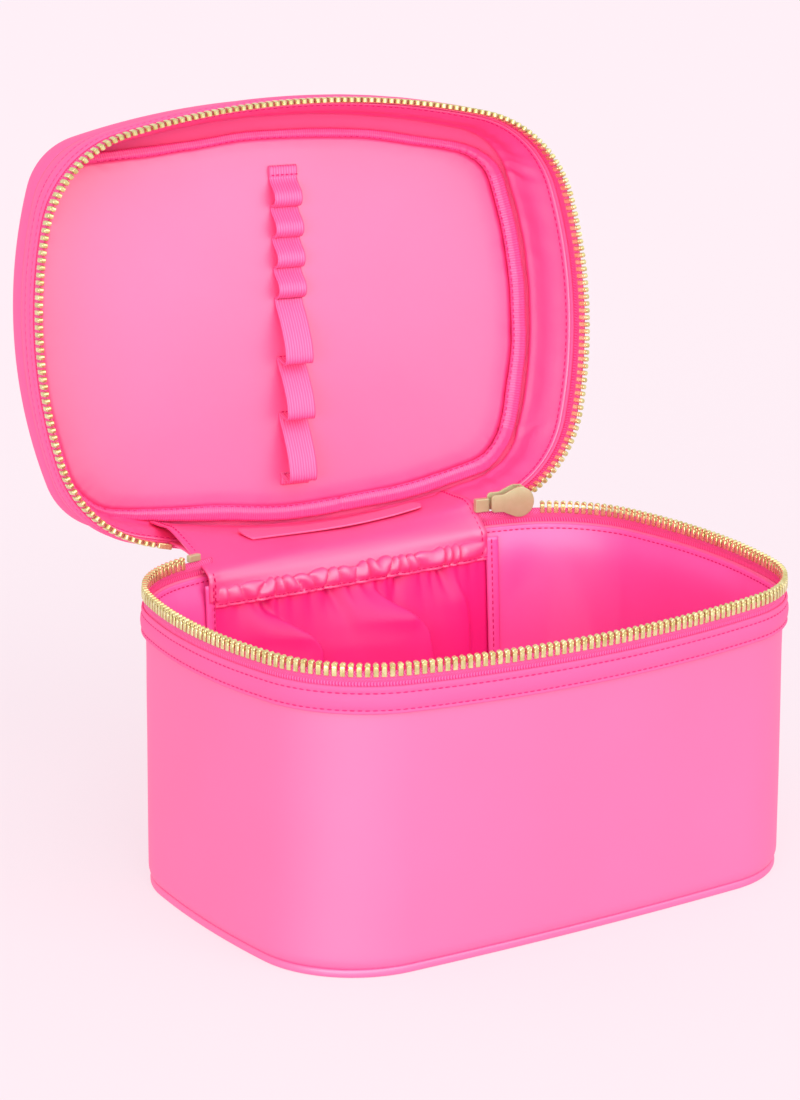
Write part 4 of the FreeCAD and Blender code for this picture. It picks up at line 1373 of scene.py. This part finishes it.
@dataclass
class Hinge:
    """Cloth that joins the lid to the body, and the bare strip sewn on it."""

    left: float = -72.4
    right: float = 64.4
    cloth: float = 0.8
    ease: float = 0.4
    back_left: float = -71.5
    back_right: float = 62.4
    crest: float = 0.6
    slack: float = 5.0
    hem: float = 0.6
    run: float = 40.0
    dent: Wave = Wave(0.4, 24, 51)
    seam_in: float = 2.6
    patch_thick: float = 0.8
    roll: tuple[tuple[float, float, float], ...] = (
        (104.0, 0.0, 1.0), (109.0, 0.1, 0.92), (113.2, 0.2, 0.55), (116.2, -2.4, 0.15))
    patch: tuple[float, float] = (88.0, 7.0)
    patch_x: float = 2.5
    patch_left: tuple[float, float] = (0.62, 0.785)
    patch_right: tuple[float, float] = (0.80, 0.925)

    @cached_property
    def over(self) -> Vector:
        """Way out of the fold, between the body's inside and the lid's."""
        return (Vector((0, -1, 0)) + SIZES.opened.to_3x3() @ Vector((0, -1, 0))).normalized()

    def face(self, x: float, share: float, lift: float) -> Vector:
        """Point of the panel between the pocket and the lid's binding.

        Args:
            x: place along the hinge.
            share: from nought behind the pocket to one at the binding.
            lift: distance from the lining, in millimetres.

        Returns:
            The point in metres.
        """
        inset = SIZES.face + lift
        middle = (self.left + self.right) / 2
        slack = self.slack * (1 - (2 * (x - middle) / (self.right - self.left)) ** 2)
        points = [BODY_WALL.back(x, z, inset + out + part * slack) for z, out, part in self.roll]
        near, deep = (LID_WALL.back(x, w, inset) for w in (1.0, SIZES.lid_seam - 4.2))
        points.append((points[-1] + near) * 0.5 + Vector((0, 0, self.crest * MM)))
        points += [near, (near + deep) * 0.5, deep]
        return spline(points, share)

    def bend(self, piece: bpy.types.Object) -> None:
        """Bakes a piece's placement into its mesh, for a piece that rides on neither the body nor the lid."""
        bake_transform(piece)

    def build_panel(self) -> None:
        """Makes the inner panel with its turned side edges and stitches."""
        along, across = 80, 44

        def place(column: int, row: int) -> Vector:
            x = lerp(self.left, self.right, column / along)
            hem = self.hem * (1 - smoothstep(4.2, 5.2, min(x - self.left, self.right - x)))
            wave = abs(self.dent.at(x, self.run * row / across))
            return self.face(x, row / across, self.ease + self.cloth / 2 + hem + wave)

        bm = SEWING.grid(along, across, place, (self.right - self.left, 64.0), self.cloth)
        panel = SEWING.keep(bm, "hinge_cloth", PANEL_CLOTH, None, ["hinge_panel"])
        self.bend(panel)
        frames: list[Matrix] = []
        for x in (self.left + self.seam_in, self.right - self.seam_in):
            line = [self.face(x, share, self.ease + self.cloth + 1.35) for share in evenly(0, 1, 40)]
            frames += line_frames(line, self.over, SIZES.stitch_pitch)
        self.bend(SEWING.sew("hinge_stitches", frames, None))

    def build_outer(self) -> None:
        """Makes the strip that closes the hinge on the outside."""
        along, across = 50, 14

        def place(column: int, row: int) -> Vector:
            x = lerp(self.back_left, self.back_right, column / along)
            foot = BODY_WALL.back(x, SIZES.band_top + 0.2, 0.2)
            edge = LID_WALL.back(x, SIZES.band_start - 0.2, 0.2)
            middle = (foot + edge) * 0.5 + self.over * (3.2 * MM)
            return spline([foot, middle, edge], row / across)

        wide = self.back_right - self.back_left
        bm = SEWING.grid(along, across, place, (wide, 23.0), self.cloth)
        strip = SEWING.keep(bm, "hinge_back_cloth", COATED, None, ["hinge_outer"])
        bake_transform(strip)

    def build_patch(self) -> None:
        """Makes the bare strip with cut-off corners, sewn flat near the lid's binding."""
        long, wide = self.patch
        along, across = 44, 6

        def place(column: int, row: int) -> Vector:
            cut = abs(row / across - 0.5) * 2
            reach = long / 2 - 2.2 * cut ** 2
            x = self.patch_x + lerp(-reach, reach, column / along)
            low, high = (lerp(a, b, column / along) for a, b in zip(self.patch_left, self.patch_right))
            return self.face(x, lerp(low, high, row / across), self.ease + self.cloth + 1.3)

        bm = SEWING.grid(along, across, place, (long, wide), self.patch_thick)
        SEWING.bevel(bm, SEWING.crisp(bm), 0.2, 2)
        self.bend(SEWING.keep(bm, "bare_patch", COATED, None, ["hinge_patch"], sharp=50))

    def build(self) -> None:
        """Makes all of the hinge."""
        self.build_panel()
        self.build_outer()
        self.build_patch()


@dataclass(frozen=True)
class Fold:
    """One soft fold of the pocket: where it starts at the casing, where it hangs, and its size."""

    start: float
    hang: float
    high: float
    gentle: float
    steep: float


@dataclass
class Pocket:
    """Gathered pocket on the inside of the back wall."""

    middle: float = -2.2
    half: float = 67.2
    top: float = 109.5
    casing: float = 8.4
    floor: float = 14.0
    ruffle: float = 6.8
    tape_wide: float = 4.5
    hang_over: float = 0.5
    cloth: float = 0.5
    tape_thick: float = 0.9
    row_up: float = 1.5
    row_pitch: float = 2.8
    # How abruptly the casing flattens into the side tapes.
    casing_end: int = 24
    gather_shift: Wave = Wave(2.8, 14, 61)
    cloth_dent: Wave = Wave(0.35, 14, 67, 0.6)
    puff_lean: Wave = Wave(1.5, 10, 77)
    puff_shift: Wave = Wave(0.9, 12, 71)
    puff_full: Wave = Wave(0.5, 4, 79)
    casing_sway: Wave = Wave(0.9, 10, 73)
    casing_dent: Wave = Wave(0.5, 6, 75, 0.5)
    folds: tuple[Fold, ...] = (Fold(-48.0, -31.0, 12.5, 24.0, 1.9), Fold(6.0, 21.0, 12.5, 27.0, 1.9),
                               Fold(46.0, 52.0, 4.0, 15.0, 4.0))
    pits: tuple[float, ...] = (-43.0, -12.0, 22.0, 43.0)

    def wall(self, x: float, z: float, inset: float) -> Vector:
        """Point on the back wall behind the pocket, in metres."""
        return BODY_WALL.back(self.middle + x, z, inset)

    def stand_off(self, x: float, z: float) -> float:
        """How far the pocket hangs from the wall."""
        share = min(1.0, max(0.0, (z - self.floor) / (self.top - self.casing - self.floor)))
        bulge = lerp(2.0, 6.5, share) + 5.0 * math.sin(math.pi * share) ** 1.2
        return 0.5 + bulge * (1 - (x / self.half) ** 2)

    def depth(self, x: float, z: float) -> float:
        """Height of the gathers and of the main folds below them."""
        fall = max(0.0, self.top - self.casing - z)
        swell = smoothstep(0, 16, fall) * (1 - 0.7 * smoothstep(45, 84, fall))
        total = 0.0
        for fold in self.folds:
            sway = Wave(1.5, 26, fold.hang).at(0, z)
            ridge = lerp(fold.start, fold.hang, smoothstep(0, 22, fall)) + sway
            off = x - ridge
            width = fold.gentle * (0.45 + 0.55 * smoothstep(0, 26, fall)) if off < 0 else fold.steep
            total = max(total, fold.high * swell * math.exp(-(off / width) ** 2))
        for i, pit in enumerate(self.pits):
            off = x - pit - (0.25 if i % 2 else -0.2) * fall
            total -= 4.0 * math.exp(-(off / (2.0 + 0.12 * fall)) ** 2) * math.exp(-fall / 9)
        phase = 2 * math.pi * x / self.ruffle + self.gather_shift.at(x)
        total += 0.7 * math.exp(-fall / 6) * math.sin(phase) + self.cloth_dent.at(x, z)
        return total * (1 - (abs(x) / self.half) ** 6)

    def build_cloth(self) -> None:
        """Makes the hanging cloth with its folds."""
        along, across = 230, 80
        high = self.top - self.casing + 0.8

        def place(column: int, row: int) -> Vector:
            x = lerp(-self.half, self.half, column / along)
            z = lerp(self.floor, high, row / across)
            fold = self.depth(x, z)
            out = max(0.45, self.stand_off(x, z) + fold)
            return self.wall(x + self.hang_over * max(0.0, fold), z, SIZES.face) - Vector((0, out * MM, 0))

        bm = SEWING.grid(along, across, place, (190.0, high - self.floor), self.cloth)
        # The pocket takes the shaded copy of the lining, as painted shade.
        cloth = SEWING.keep(bm, "pocket_cloth", SHADED_POCKET_LINING, Body.CASE, ["pocket_panel"])

    def puff(self, x: float, z: float) -> float:
        """Puffs of the casing between its slanted creases, from nought to one."""
        lean = (z - self.top + self.casing / 2) * (0.25 + self.puff_lean.at(x))
        place = (x + lean) / self.ruffle + self.puff_shift.at(x)
        share = place - math.floor(place)
        full = 0.75 + self.puff_full.at(math.floor(place) * 9.7)
        return full * math.sin(math.pi * share ** 1.4) ** 0.6

    def casing_out(self, x: float, z: float, turn: float) -> float:
        """Distance of the casing's skin from the wall at a turn round its tube."""
        low = self.top - self.casing
        edge = 1 - (abs(x) / self.half) ** self.casing_end
        deep = 0.4 + 4.2 * self.puff(x, z) * edge
        pinch = 1 - 0.62 * math.exp(-((z - low - self.row_up) / 0.9) ** 2)
        sway = (self.casing_sway.at(x) + self.casing_dent.at(x, z)) * edge
        return self.stand_off(x, low) + 1.0 + sway + deep * pinch * turn

    def build_casing(self) -> None:
        """Makes the puffed casing with its ruffles and its stitch row."""
        low = self.top - self.casing
        along = 420
        turn = circle(22)

        def place(column: int, row: int) -> Vector:
            x = lerp(-self.half, self.half, column / along)
            a = turn[row % len(turn)]
            edge = 1 - (abs(x) / self.half) ** self.casing_end
            tall = self.casing / 2 + (3.0 * self.puff(x, self.top) - 1.4) * edge * max(0.0, math.sin(a))
            z = low + self.casing / 2 + tall * squared(math.sin(a), 0.8)
            out = self.casing_out(x, z, squared(math.cos(a), 0.8))
            return self.wall(x, z, SIZES.face) - Vector((0, max(0.5, out) * MM, 0))

        bm = SEWING.grid(along, len(turn), place, (170.0, 26.0))
        SEWING.close(bm)
        SEWING.keep(bm, "pocket_ruffle", PANEL_CLOTH, Body.CASE, ["pocket_casing", "pocket_elastic"])
        line = []
        row = low + self.row_up
        for x in evenly(-self.half + 1, self.half - 1, 240):
            out = self.casing_out(x, row, 0.9)
            line.append(self.wall(x, row, SIZES.face) - Vector((0, (out + 0.1) * MM, 0)))
        frames = line_frames(line, Vector((0, -1, 0)), self.row_pitch)
        SEWING.sew("ruffle_stitches", frames, Body.CASE)

    def build_tapes(self) -> None:
        """Makes the tapes at the pocket's sides, each with its row of stitches."""
        for name, sign in (("left", -1), ("right", 1)):
            along, across = 60, 6

            def place(column: int, row: int, sign: int = sign) -> Vector:
                z = lerp(10.0, self.top + 1.6, column / along)
                x = sign * lerp(self.half - 0.4, self.half + self.tape_wide, row / across)
                ridge = 0.7 + 0.7 * math.sin(math.pi * row / across) ** 0.6
                return self.wall(x, z, SIZES.face + 0.4 + ridge)

            bm = SEWING.grid(along, across, place, (self.top, self.tape_wide), self.tape_thick)
            SEWING.keep(bm, f"pocket_tape_cloth_{name}", LINING, Body.CASE, [f"pocket_tape_{name}"])
            x = sign * (self.half + 1.2)
            line = [self.wall(x, z, SIZES.face + 2.7) for z in (11.0, 60.0, self.top + 1)]
            frames = line_frames(line, Vector((0, -1, 0)), SIZES.stitch_pitch)
            SEWING.sew(f"pocket_tape_stitches_{name}", frames, Body.CASE)

    def build(self) -> None:
        """Makes all of the pocket."""
        self.build_cloth()
        self.build_casing()
        self.build_tapes()


@dataclass
class Slider:
    """Zip slider with its crown, link and pull tab."""

    zipper: Zip
    x: float = 80.2
    length: float = 18.0
    head: float = 12.0
    neck: float = 7.6
    plate: float = 1.0
    gap: float = 4.6
    shift: float = -0.4
    flange: float = 0.6
    tongue: float = 1.4
    slot: float = 2.5
    crown_rise: float = 3.2
    bar: float = 1.2
    crown_long: float = 12.0
    link_hole: float = 1.8
    link_wire: float = 0.8
    link_deep: float = 0.72
    link_long: float = 10.1
    pull: tuple[float, float, float] = (7.0, 29.0, 1.2)

    @property
    def tall(self) -> float:
        """Half the height of a plate's round head."""
        return SIZES.tip_gap / 2 + SIZES.tooth + self.flange

    @cached_property
    def axes(self) -> Matrix:
        """Frame of the slider: x along the row, y outwards, z up."""
        along = self.zipper.along_of(self.x)
        height = SIZES.chain + (SIZES.tooth + SIZES.tip_gap) / 2
        stop = SIZES.station(along)
        first, last = SIZES.rim.arcs[stop.arc][2:]
        angle = lerp(first, last, stop.share)
        out = Vector((math.cos(angle), math.sin(angle), 0))
        flat = SIZES.rim.at(stop.arc, stop.share, SIZES.chain_out + self.shift)
        x = Vector((out.y, -out.x, 0))
        spot = Vector((flat.x, flat.y, height)) * MM
        turn = Matrix((x, out, Vector((0, 0, 1)))).transposed().to_4x4()
        return Matrix.Translation(spot) @ turn

    def cut(self, outline: Profile, low: float, high: float, crisp: float) -> BMesh:
        """Stamps a plate from an outline.

        Args:
            outline: points of the plate's edge in millimetres.
            low: first face along the plate's thickness.
            high: second face.
            crisp: bevel width in millimetres.

        Returns:
            The bevelled plate in the slider's own frame.
        """
        bm = bmesh.new()
        face = bm.faces.new([bm.verts.new(Vector((x, low, z)) * MM) for x, z in outline])
        grown = bmesh.ops.extrude_face_region(bm, geom=[face])
        tops = [g for g in grown["geom"] if isinstance(g, bmesh.types.BMVert)]
        bmesh.ops.translate(bm, verts=tops, vec=Vector((0, high, 0)) * MM - Vector((0, low, 0)) * MM)
        bmesh.ops.recalc_face_normals(bm, faces=bm.faces)
        SEWING.bevel(bm, SEWING.crisp(bm), crisp, 3)
        return bm

    def bulb(self) -> Profile:
        """Outline of a slider plate: a round head and a narrower neck with soft shoulders."""
        half, neck = self.length / 2, self.neck / 2
        middle = half - self.tall
        points = [(middle + self.tall * math.cos(a), self.tall * math.sin(a))
                  for a in (math.radians(d) for d in range(-120, 121, 12))]
        end = -half - self.tongue
        shoulder = [(lerp(points[-1][0], end + 1.5, t), lerp(points[-1][1], neck, smoothstep(0, 0.55, t)))
                    for t in (0.25, 0.5, 0.75, 1.0)]
        corner = [(end + 0.5, neck - 0.35), (end, neck - 1.3)]
        upper = points + shoulder + corner
        return upper + [(x, -z) for x, z in reversed(shoulder + corner)]

    def block(self, low: Vector, high: Vector, crisp: float) -> BMesh:
        """A bevelled block between two corners in millimetres."""
        bm = bmesh.new()
        size = Matrix.Diagonal((high - low).to_4d() * MM)
        size[3][3] = 1.0
        bmesh.ops.create_cube(bm, size=1.0, matrix=Matrix.Translation((low + high) * 0.5 * MM) @ size)
        SEWING.bevel(bm, bm.edges[:], crisp, 2)
        return bm

    def build_body(self) -> None:
        """Makes the two plates, the post, the flanges and the crown."""
        inner = self.gap / 2
        outer = inner + self.plate
        middle = self.length / 2 - self.head / 2
        shapes = [self.cut(self.bulb(), low, high, 0.3) for low, high in ((inner, outer), (-outer, -inner))]
        shapes.append(self.block(Vector((middle - 1, -inner - 0.2, -0.5)),
                                 Vector((middle + 4, inner + 0.2, 0.5)), 0.2))
        for sign in (-1, 1):
            for side in (-1, 1):
                lip = sorted((side * self.slot / 2, side * (inner + 0.2)))
                edge = sorted((sign * (self.tall - 0.55), sign * self.tall))
                shapes.append(self.block(Vector((middle - 1.6, lip[0], edge[0])),
                                         Vector((middle + 1.6, lip[1], edge[1])), 0.12))
        body = SEWING.joined(shapes)
        bmesh.ops.transform(body, matrix=self.axes, verts=body.verts)
        SEWING.keep(body, "slider_plates", PALE_GOLD, Body.SLIDER, ["slider_body"], sharp=35)
        reach, rise = self.crown_long / 2, outer + self.crown_rise
        right = [(reach - 1.1, rise), (reach - 0.3, rise - 1.0), (reach, outer - 0.1),
                 (reach - 1.4, outer - 0.1), (reach - 1.6, rise - self.bar - 0.3),
                 (reach - 2.0, rise - self.bar)]
        left = [(-x, y) for x, y in reversed(right)]
        crown = self.cut(left[3:] + right + left[:3], -self.bar / 2, self.bar / 2, 0.18)
        swap = Matrix(((1, 0, 0, 0), (0, 0, 1, 0), (0, 1, 0, 0), (0, 0, 0, 1)))
        bmesh.ops.transform(crown, matrix=self.axes @ swap, verts=crown.verts)
        bmesh.ops.recalc_face_normals(crown, faces=crown.faces)
        SEWING.keep(crown, "slider_bail", PALE_GOLD, Body.SLIDER, ["slider_crown"], sharp=35)

    def build_pull(self) -> None:
        """Makes the link over the crown and the tab that hangs in it."""
        bar = self.gap / 2 + self.plate + self.crown_rise - self.bar / 2
        hole = self.link_hole / 2
        wire = hole + self.link_wire
        top = self.bar / 2 - 0.5
        low = top - self.link_long + 2 * wire
        radius = (hole + wire) / 2
        turns = [math.radians(a) for a in range(0, 181, 15)]
        path = [(bar + radius * math.cos(a), top + radius * math.sin(a)) for a in turns]
        path += [(bar + radius * math.cos(a + math.pi), low + radius * math.sin(a + math.pi)) for a in turns]
        loop = [math.radians(a) for a in range(0, 360, 36)]
        thick = self.link_wire / 2

        def place(column: int, row: int) -> Vector:
            a, b = path[(column - 1) % len(path)], path[(column + 1) % len(path)]
            here = path[column % len(path)]
            way = Vector((b[0] - a[0], b[1] - a[1])).normalized()
            turn = loop[row % len(loop)]
            off = Vector((way.y, -way.x)) * (thick * math.cos(turn))
            side = self.link_deep * math.sin(turn)
            return self.axes @ (Vector((side, here[0] + off.x, here[1] + off.y)) * MM)

        bm = SEWING.grid(len(path), len(loop), place, (24.0, 3.0))
        SEWING.keep(bm, "pull_ring", PALE_GOLD, Body.PULL, ["pull_link"])
        wide, deep, flat = self.pull
        rest = low - hole + 0.35
        head = rest + 1.3
        half = wide / 2
        right = [(half * 0.62, head), (half, head - 1.6), (half * 0.8, head - deep * 0.45),
                 (half, head - deep + 2.2), (half * 0.7, head - deep + 0.5)]
        left = [(-x, z) for x, z in reversed(right)]
        edge = left[-1:] + right + [(0, head - deep)] + left[:-1]
        tab = self.cut(edge, bar - flat / 2, bar + flat / 2, 0.25)
        faces = [f for f in tab.faces if abs(f.normal.y) > 0.9 and f.calc_area() > 20 * MM * MM]
        bmesh.ops.inset_region(tab, faces=faces, thickness=0.8 * MM, depth=-0.12 * MM)
        bmesh.ops.transform(tab, matrix=self.axes, verts=tab.verts)
        SEWING.keep(tab, "pull_plate", PALE_GOLD, Body.PULL, ["pull_tab"], sharp=35)

    def build(self) -> None:
        """Makes the slider and its pull."""
        self.build_body()
        self.build_pull()


@dataclass
class CarryHandle:
    """Padded strap on the lid's top with a sewn tab over each end."""

    lid: Lid
    half: float = 50.0
    foot: float = 20.0
    width: float = 24.0
    thick: float = 3.2
    rise: float = 20.0
    tab: tuple[float, float, float] = (22.0, 29.0, 1.4)
    sunk: float = 0.4
    seam_in: float = 2.6
    strap_pitch: float = 3.3
    tab_pitch: float = 3.1
    tab_stitch: tuple[float, ...] = (2.3,)

    @property
    def middle(self) -> float:
        """Distance of the strap's middle from the lid's back edge."""
        return SIZES.rim.depth / 2 + SIZES.chain_out - SIZES.top.y

    @property
    def top(self) -> float:
        """Height of the lid's crowned top under the strap."""
        return SIZES.lid_height + self.lid.top_crown * 0.75

    def point(self, u: float, across: float, up: float) -> Vector:
        """Point above the lid along the arch of the strap."""
        arch = 0.5 * (1 + math.cos(math.pi * min(1.0, abs(u) / self.half)))
        lift = (self.rise - 1.0) * arch ** 0.9
        return self.lid.at(SIZES.top.x + u, self.middle + across, self.top + lift + up)

    def build_strap(self) -> None:
        """Makes the strap and its two rows of stitches."""
        ends = self.half + self.foot - 1
        stops = evenly(-ends, ends, 72)
        path = [self.point(u, 0.0, self.thick / 2) for u in stops]
        bm = SEWING.strap(path, -self.lid.way(0, 1, 0), self.width, self.thick)
        SEWING.keep(bm, "handle_strap", COATED, Body.LID, ["carry_handle"])
        inner = [u for u in stops if abs(u) < self.half - 2]
        frames: list[Matrix] = []
        for across in (-self.width / 2 + self.seam_in, self.width / 2 - self.seam_in):
            line = [self.point(u, across, self.thick + 0.02) for u in inner]
            frames += line_frames(line, self.lid.way(0, 0, 1), self.strap_pitch)
        SEWING.sew("handle_stitches", frames, Body.LID)

    def build_tabs(self) -> None:
        """Makes the tab over each end of the strap, with its box of stitches."""
        long, wide, cover = self.tab
        high = self.thick + cover
        size = Matrix.Diagonal((long * MM, wide * MM, high * MM, 1.0))
        tabs, rows = [], []
        for sign in (-1, 1):
            centre = sign * (self.half + self.foot - long / 2 + 2)
            level = SIZES.lid_z + self.top + high / 2 - self.sunk
            place = Matrix.Translation(Vector((SIZES.top.x + centre, SIZES.top.y, level)) * MM)
            bm = bmesh.new()
            bmesh.ops.create_cube(bm, size=1.0, matrix=place @ size)
            sides = [e for e in bm.edges if abs((e.verts[0].co - e.verts[1].co).z) > 0.5 * high * MM]
            SEWING.bevel(bm, sides, 4.0, 5)
            caps = [f for f in bm.faces if f.normal.z > 0.9]
            SEWING.bevel(bm, list({e for f in caps for e in f.edges}), 1.2, 3)
            bmesh.ops.transform(bm, matrix=SIZES.opened, verts=bm.verts)
            tabs.append(bm)
            a, b = long / 2 - self.seam_in, wide / 2 - self.seam_in
            loop = [(-a, -b), (a, -b), (a, b), (-a, b), (-a, -b), (a, b)]
            line = [self.lid.at(SIZES.top.x + centre + x, self.middle + y, self.top + high - 0.38)
                    for x, y in loop]
            rows += line_frames(line, self.lid.way(0, 0, 1), self.tab_pitch)
        SEWING.keep(SEWING.joined(tabs), "handle_end_tabs", COATED, Body.LID, ["handle_tabs"], sharp=40)
        SEWING.sew("handle_tab_stitches", rows, Body.LID, self.tab_stitch)

    def build(self) -> None:
        """Makes all of the handle."""
        self.build_strap()
        self.build_tabs()


@dataclass
class Studio:
    """Pale floor, soft lights and the camera."""

    background: str = "FFF0F7"
    floor_half: float = 14.0
    floor_level: float = 0.26
    floor_glow: float = 0.702
    azimuth: float = 32.985
    elevation: float = 15.395
    distance: float = 1268.2
    target: tuple[float, float, float] = (-30.16, 1.62, 137.66)
    lens: float = 106.59
    sensor: float = 36.0
    far_clip: float = 50.0
    sky: float = 0.9

    def build_floor(self) -> None:
        """Makes the pale floor, partly lit from below like a light table."""
        bm = bmesh.new()
        bmesh.ops.create_grid(bm, x_segments=2, y_segments=2, size=self.floor_half)
        mesh = bpy.data.meshes.new("floor")
        bm.to_mesh(mesh)
        bm.free()
        paper = bpy.data.materials.new("pale_paper")
        paper.use_nodes = True
        tone = [c * self.floor_level for c in srgb(self.background)[:3]]
        feed(paper.node_tree, paper.node_tree.nodes["Principled BSDF"],
             {"Base Color": (*tone, 1.0), "Roughness": 0.9, "Specular IOR Level": 0.0,
              "Emission Color": srgb(self.background), "Emission Strength": self.floor_glow})
        mesh.materials.append(paper)
        floor = bpy.data.objects.new("floor", mesh)
        bpy.context.scene.collection.objects.link(floor)

    def build_light(self) -> None:
        """Lights the case softly from all round, with broad lights from the front."""
        world = bpy.data.worlds.new("studio")
        world.use_nodes = True
        tree = world.node_tree
        tree.nodes.clear()
        sky = add_node(tree, "Background", {"Color": (1.0, 0.985, 0.99, 1.0), "Strength": self.sky})
        add_node(tree, "OutputWorld", {0: sky.outputs[0]})
        bpy.context.scene.world = world
        self.sun("key_softbox", Vector((0.15, -0.85, 0.5)), 1.0, 60.0)
        self.sun("camera_softbox", Vector((-0.5, -0.8, 0.3)), 0.7, 40.0)
        self.sun("corner_softbox", Vector((-0.82, -0.52, 0.05)), 1.25, 32.0)

    def sun(self, name: str, way: Vector, strength: float, spread: float) -> None:
        """Adds an even broad light from one side.

        Args:
            name: lamp name.
            way: direction from the case to the light.
            strength: irradiance in watts a square metre.
            spread: angular size in degrees.
        """
        lamp = bpy.data.lights.new(name, "SUN")
        lamp.energy = strength
        lamp.angle = math.radians(spread)
        thing = bpy.data.objects.new(name, lamp)
        thing.rotation_euler = way.to_track_quat("Z", "Y").to_euler()
        bpy.context.scene.collection.objects.link(thing)

    def build_camera(self) -> None:
        """Places the camera at the photograph's viewing angle."""
        az, el = math.radians(self.azimuth), math.radians(self.elevation)
        back = Vector((-math.sin(az) * math.cos(el), -math.cos(az) * math.cos(el), math.sin(el)))
        target = Vector(self.target) * MM
        lens = bpy.data.cameras.new("camera")
        lens.lens = self.lens
        lens.sensor_width = self.sensor
        lens.clip_end = self.far_clip
        camera = bpy.data.objects.new("camera", lens)
        camera.location = target + back * self.distance * MM
        camera.rotation_euler = back.to_track_quat("Z", "Y").to_euler()
        bpy.context.scene.collection.objects.link(camera)
        bpy.context.scene.camera = camera

    def build(self) -> None:
        """Sets the whole studio."""
        bpy.context.scene.view_settings.view_transform = "Standard"
        self.build_floor()
        self.build_light()
        self.build_camera()


def dress_nodes() -> None:
    """Gives the frame's own nodes that stay their finishes."""
    finishes = {"body_zip_stop": PALE_GOLD, "lid_zip_stop": GOLD, "zip_retainer": PALE_GOLD,
                "base_board": BOARD, "lid_board": BOARD}
    for name, finish in finishes.items():
        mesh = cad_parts[name].data
        mesh.materials.clear()
        mesh.materials.append(finish.material())
        LOG.info("%s: dressed", name)


def main() -> None:
    """Builds the case piece by piece and sets the studio round it."""
    logging.basicConfig(level=logging.INFO, format="%(name)s %(message)s")
    body = CaseBody()
    body.build()
    zipper = Zip()
    zipper.build()
    lid = Lid(body)
    lid.build()
    BrushElastic(lid).build()
    Hinge().build()
    Pocket().build()
    Slider(zipper).build()
    CarryHandle(lid).build()
    dress_nodes()
    Studio().build()


if __name__ == "__main__":
    main()
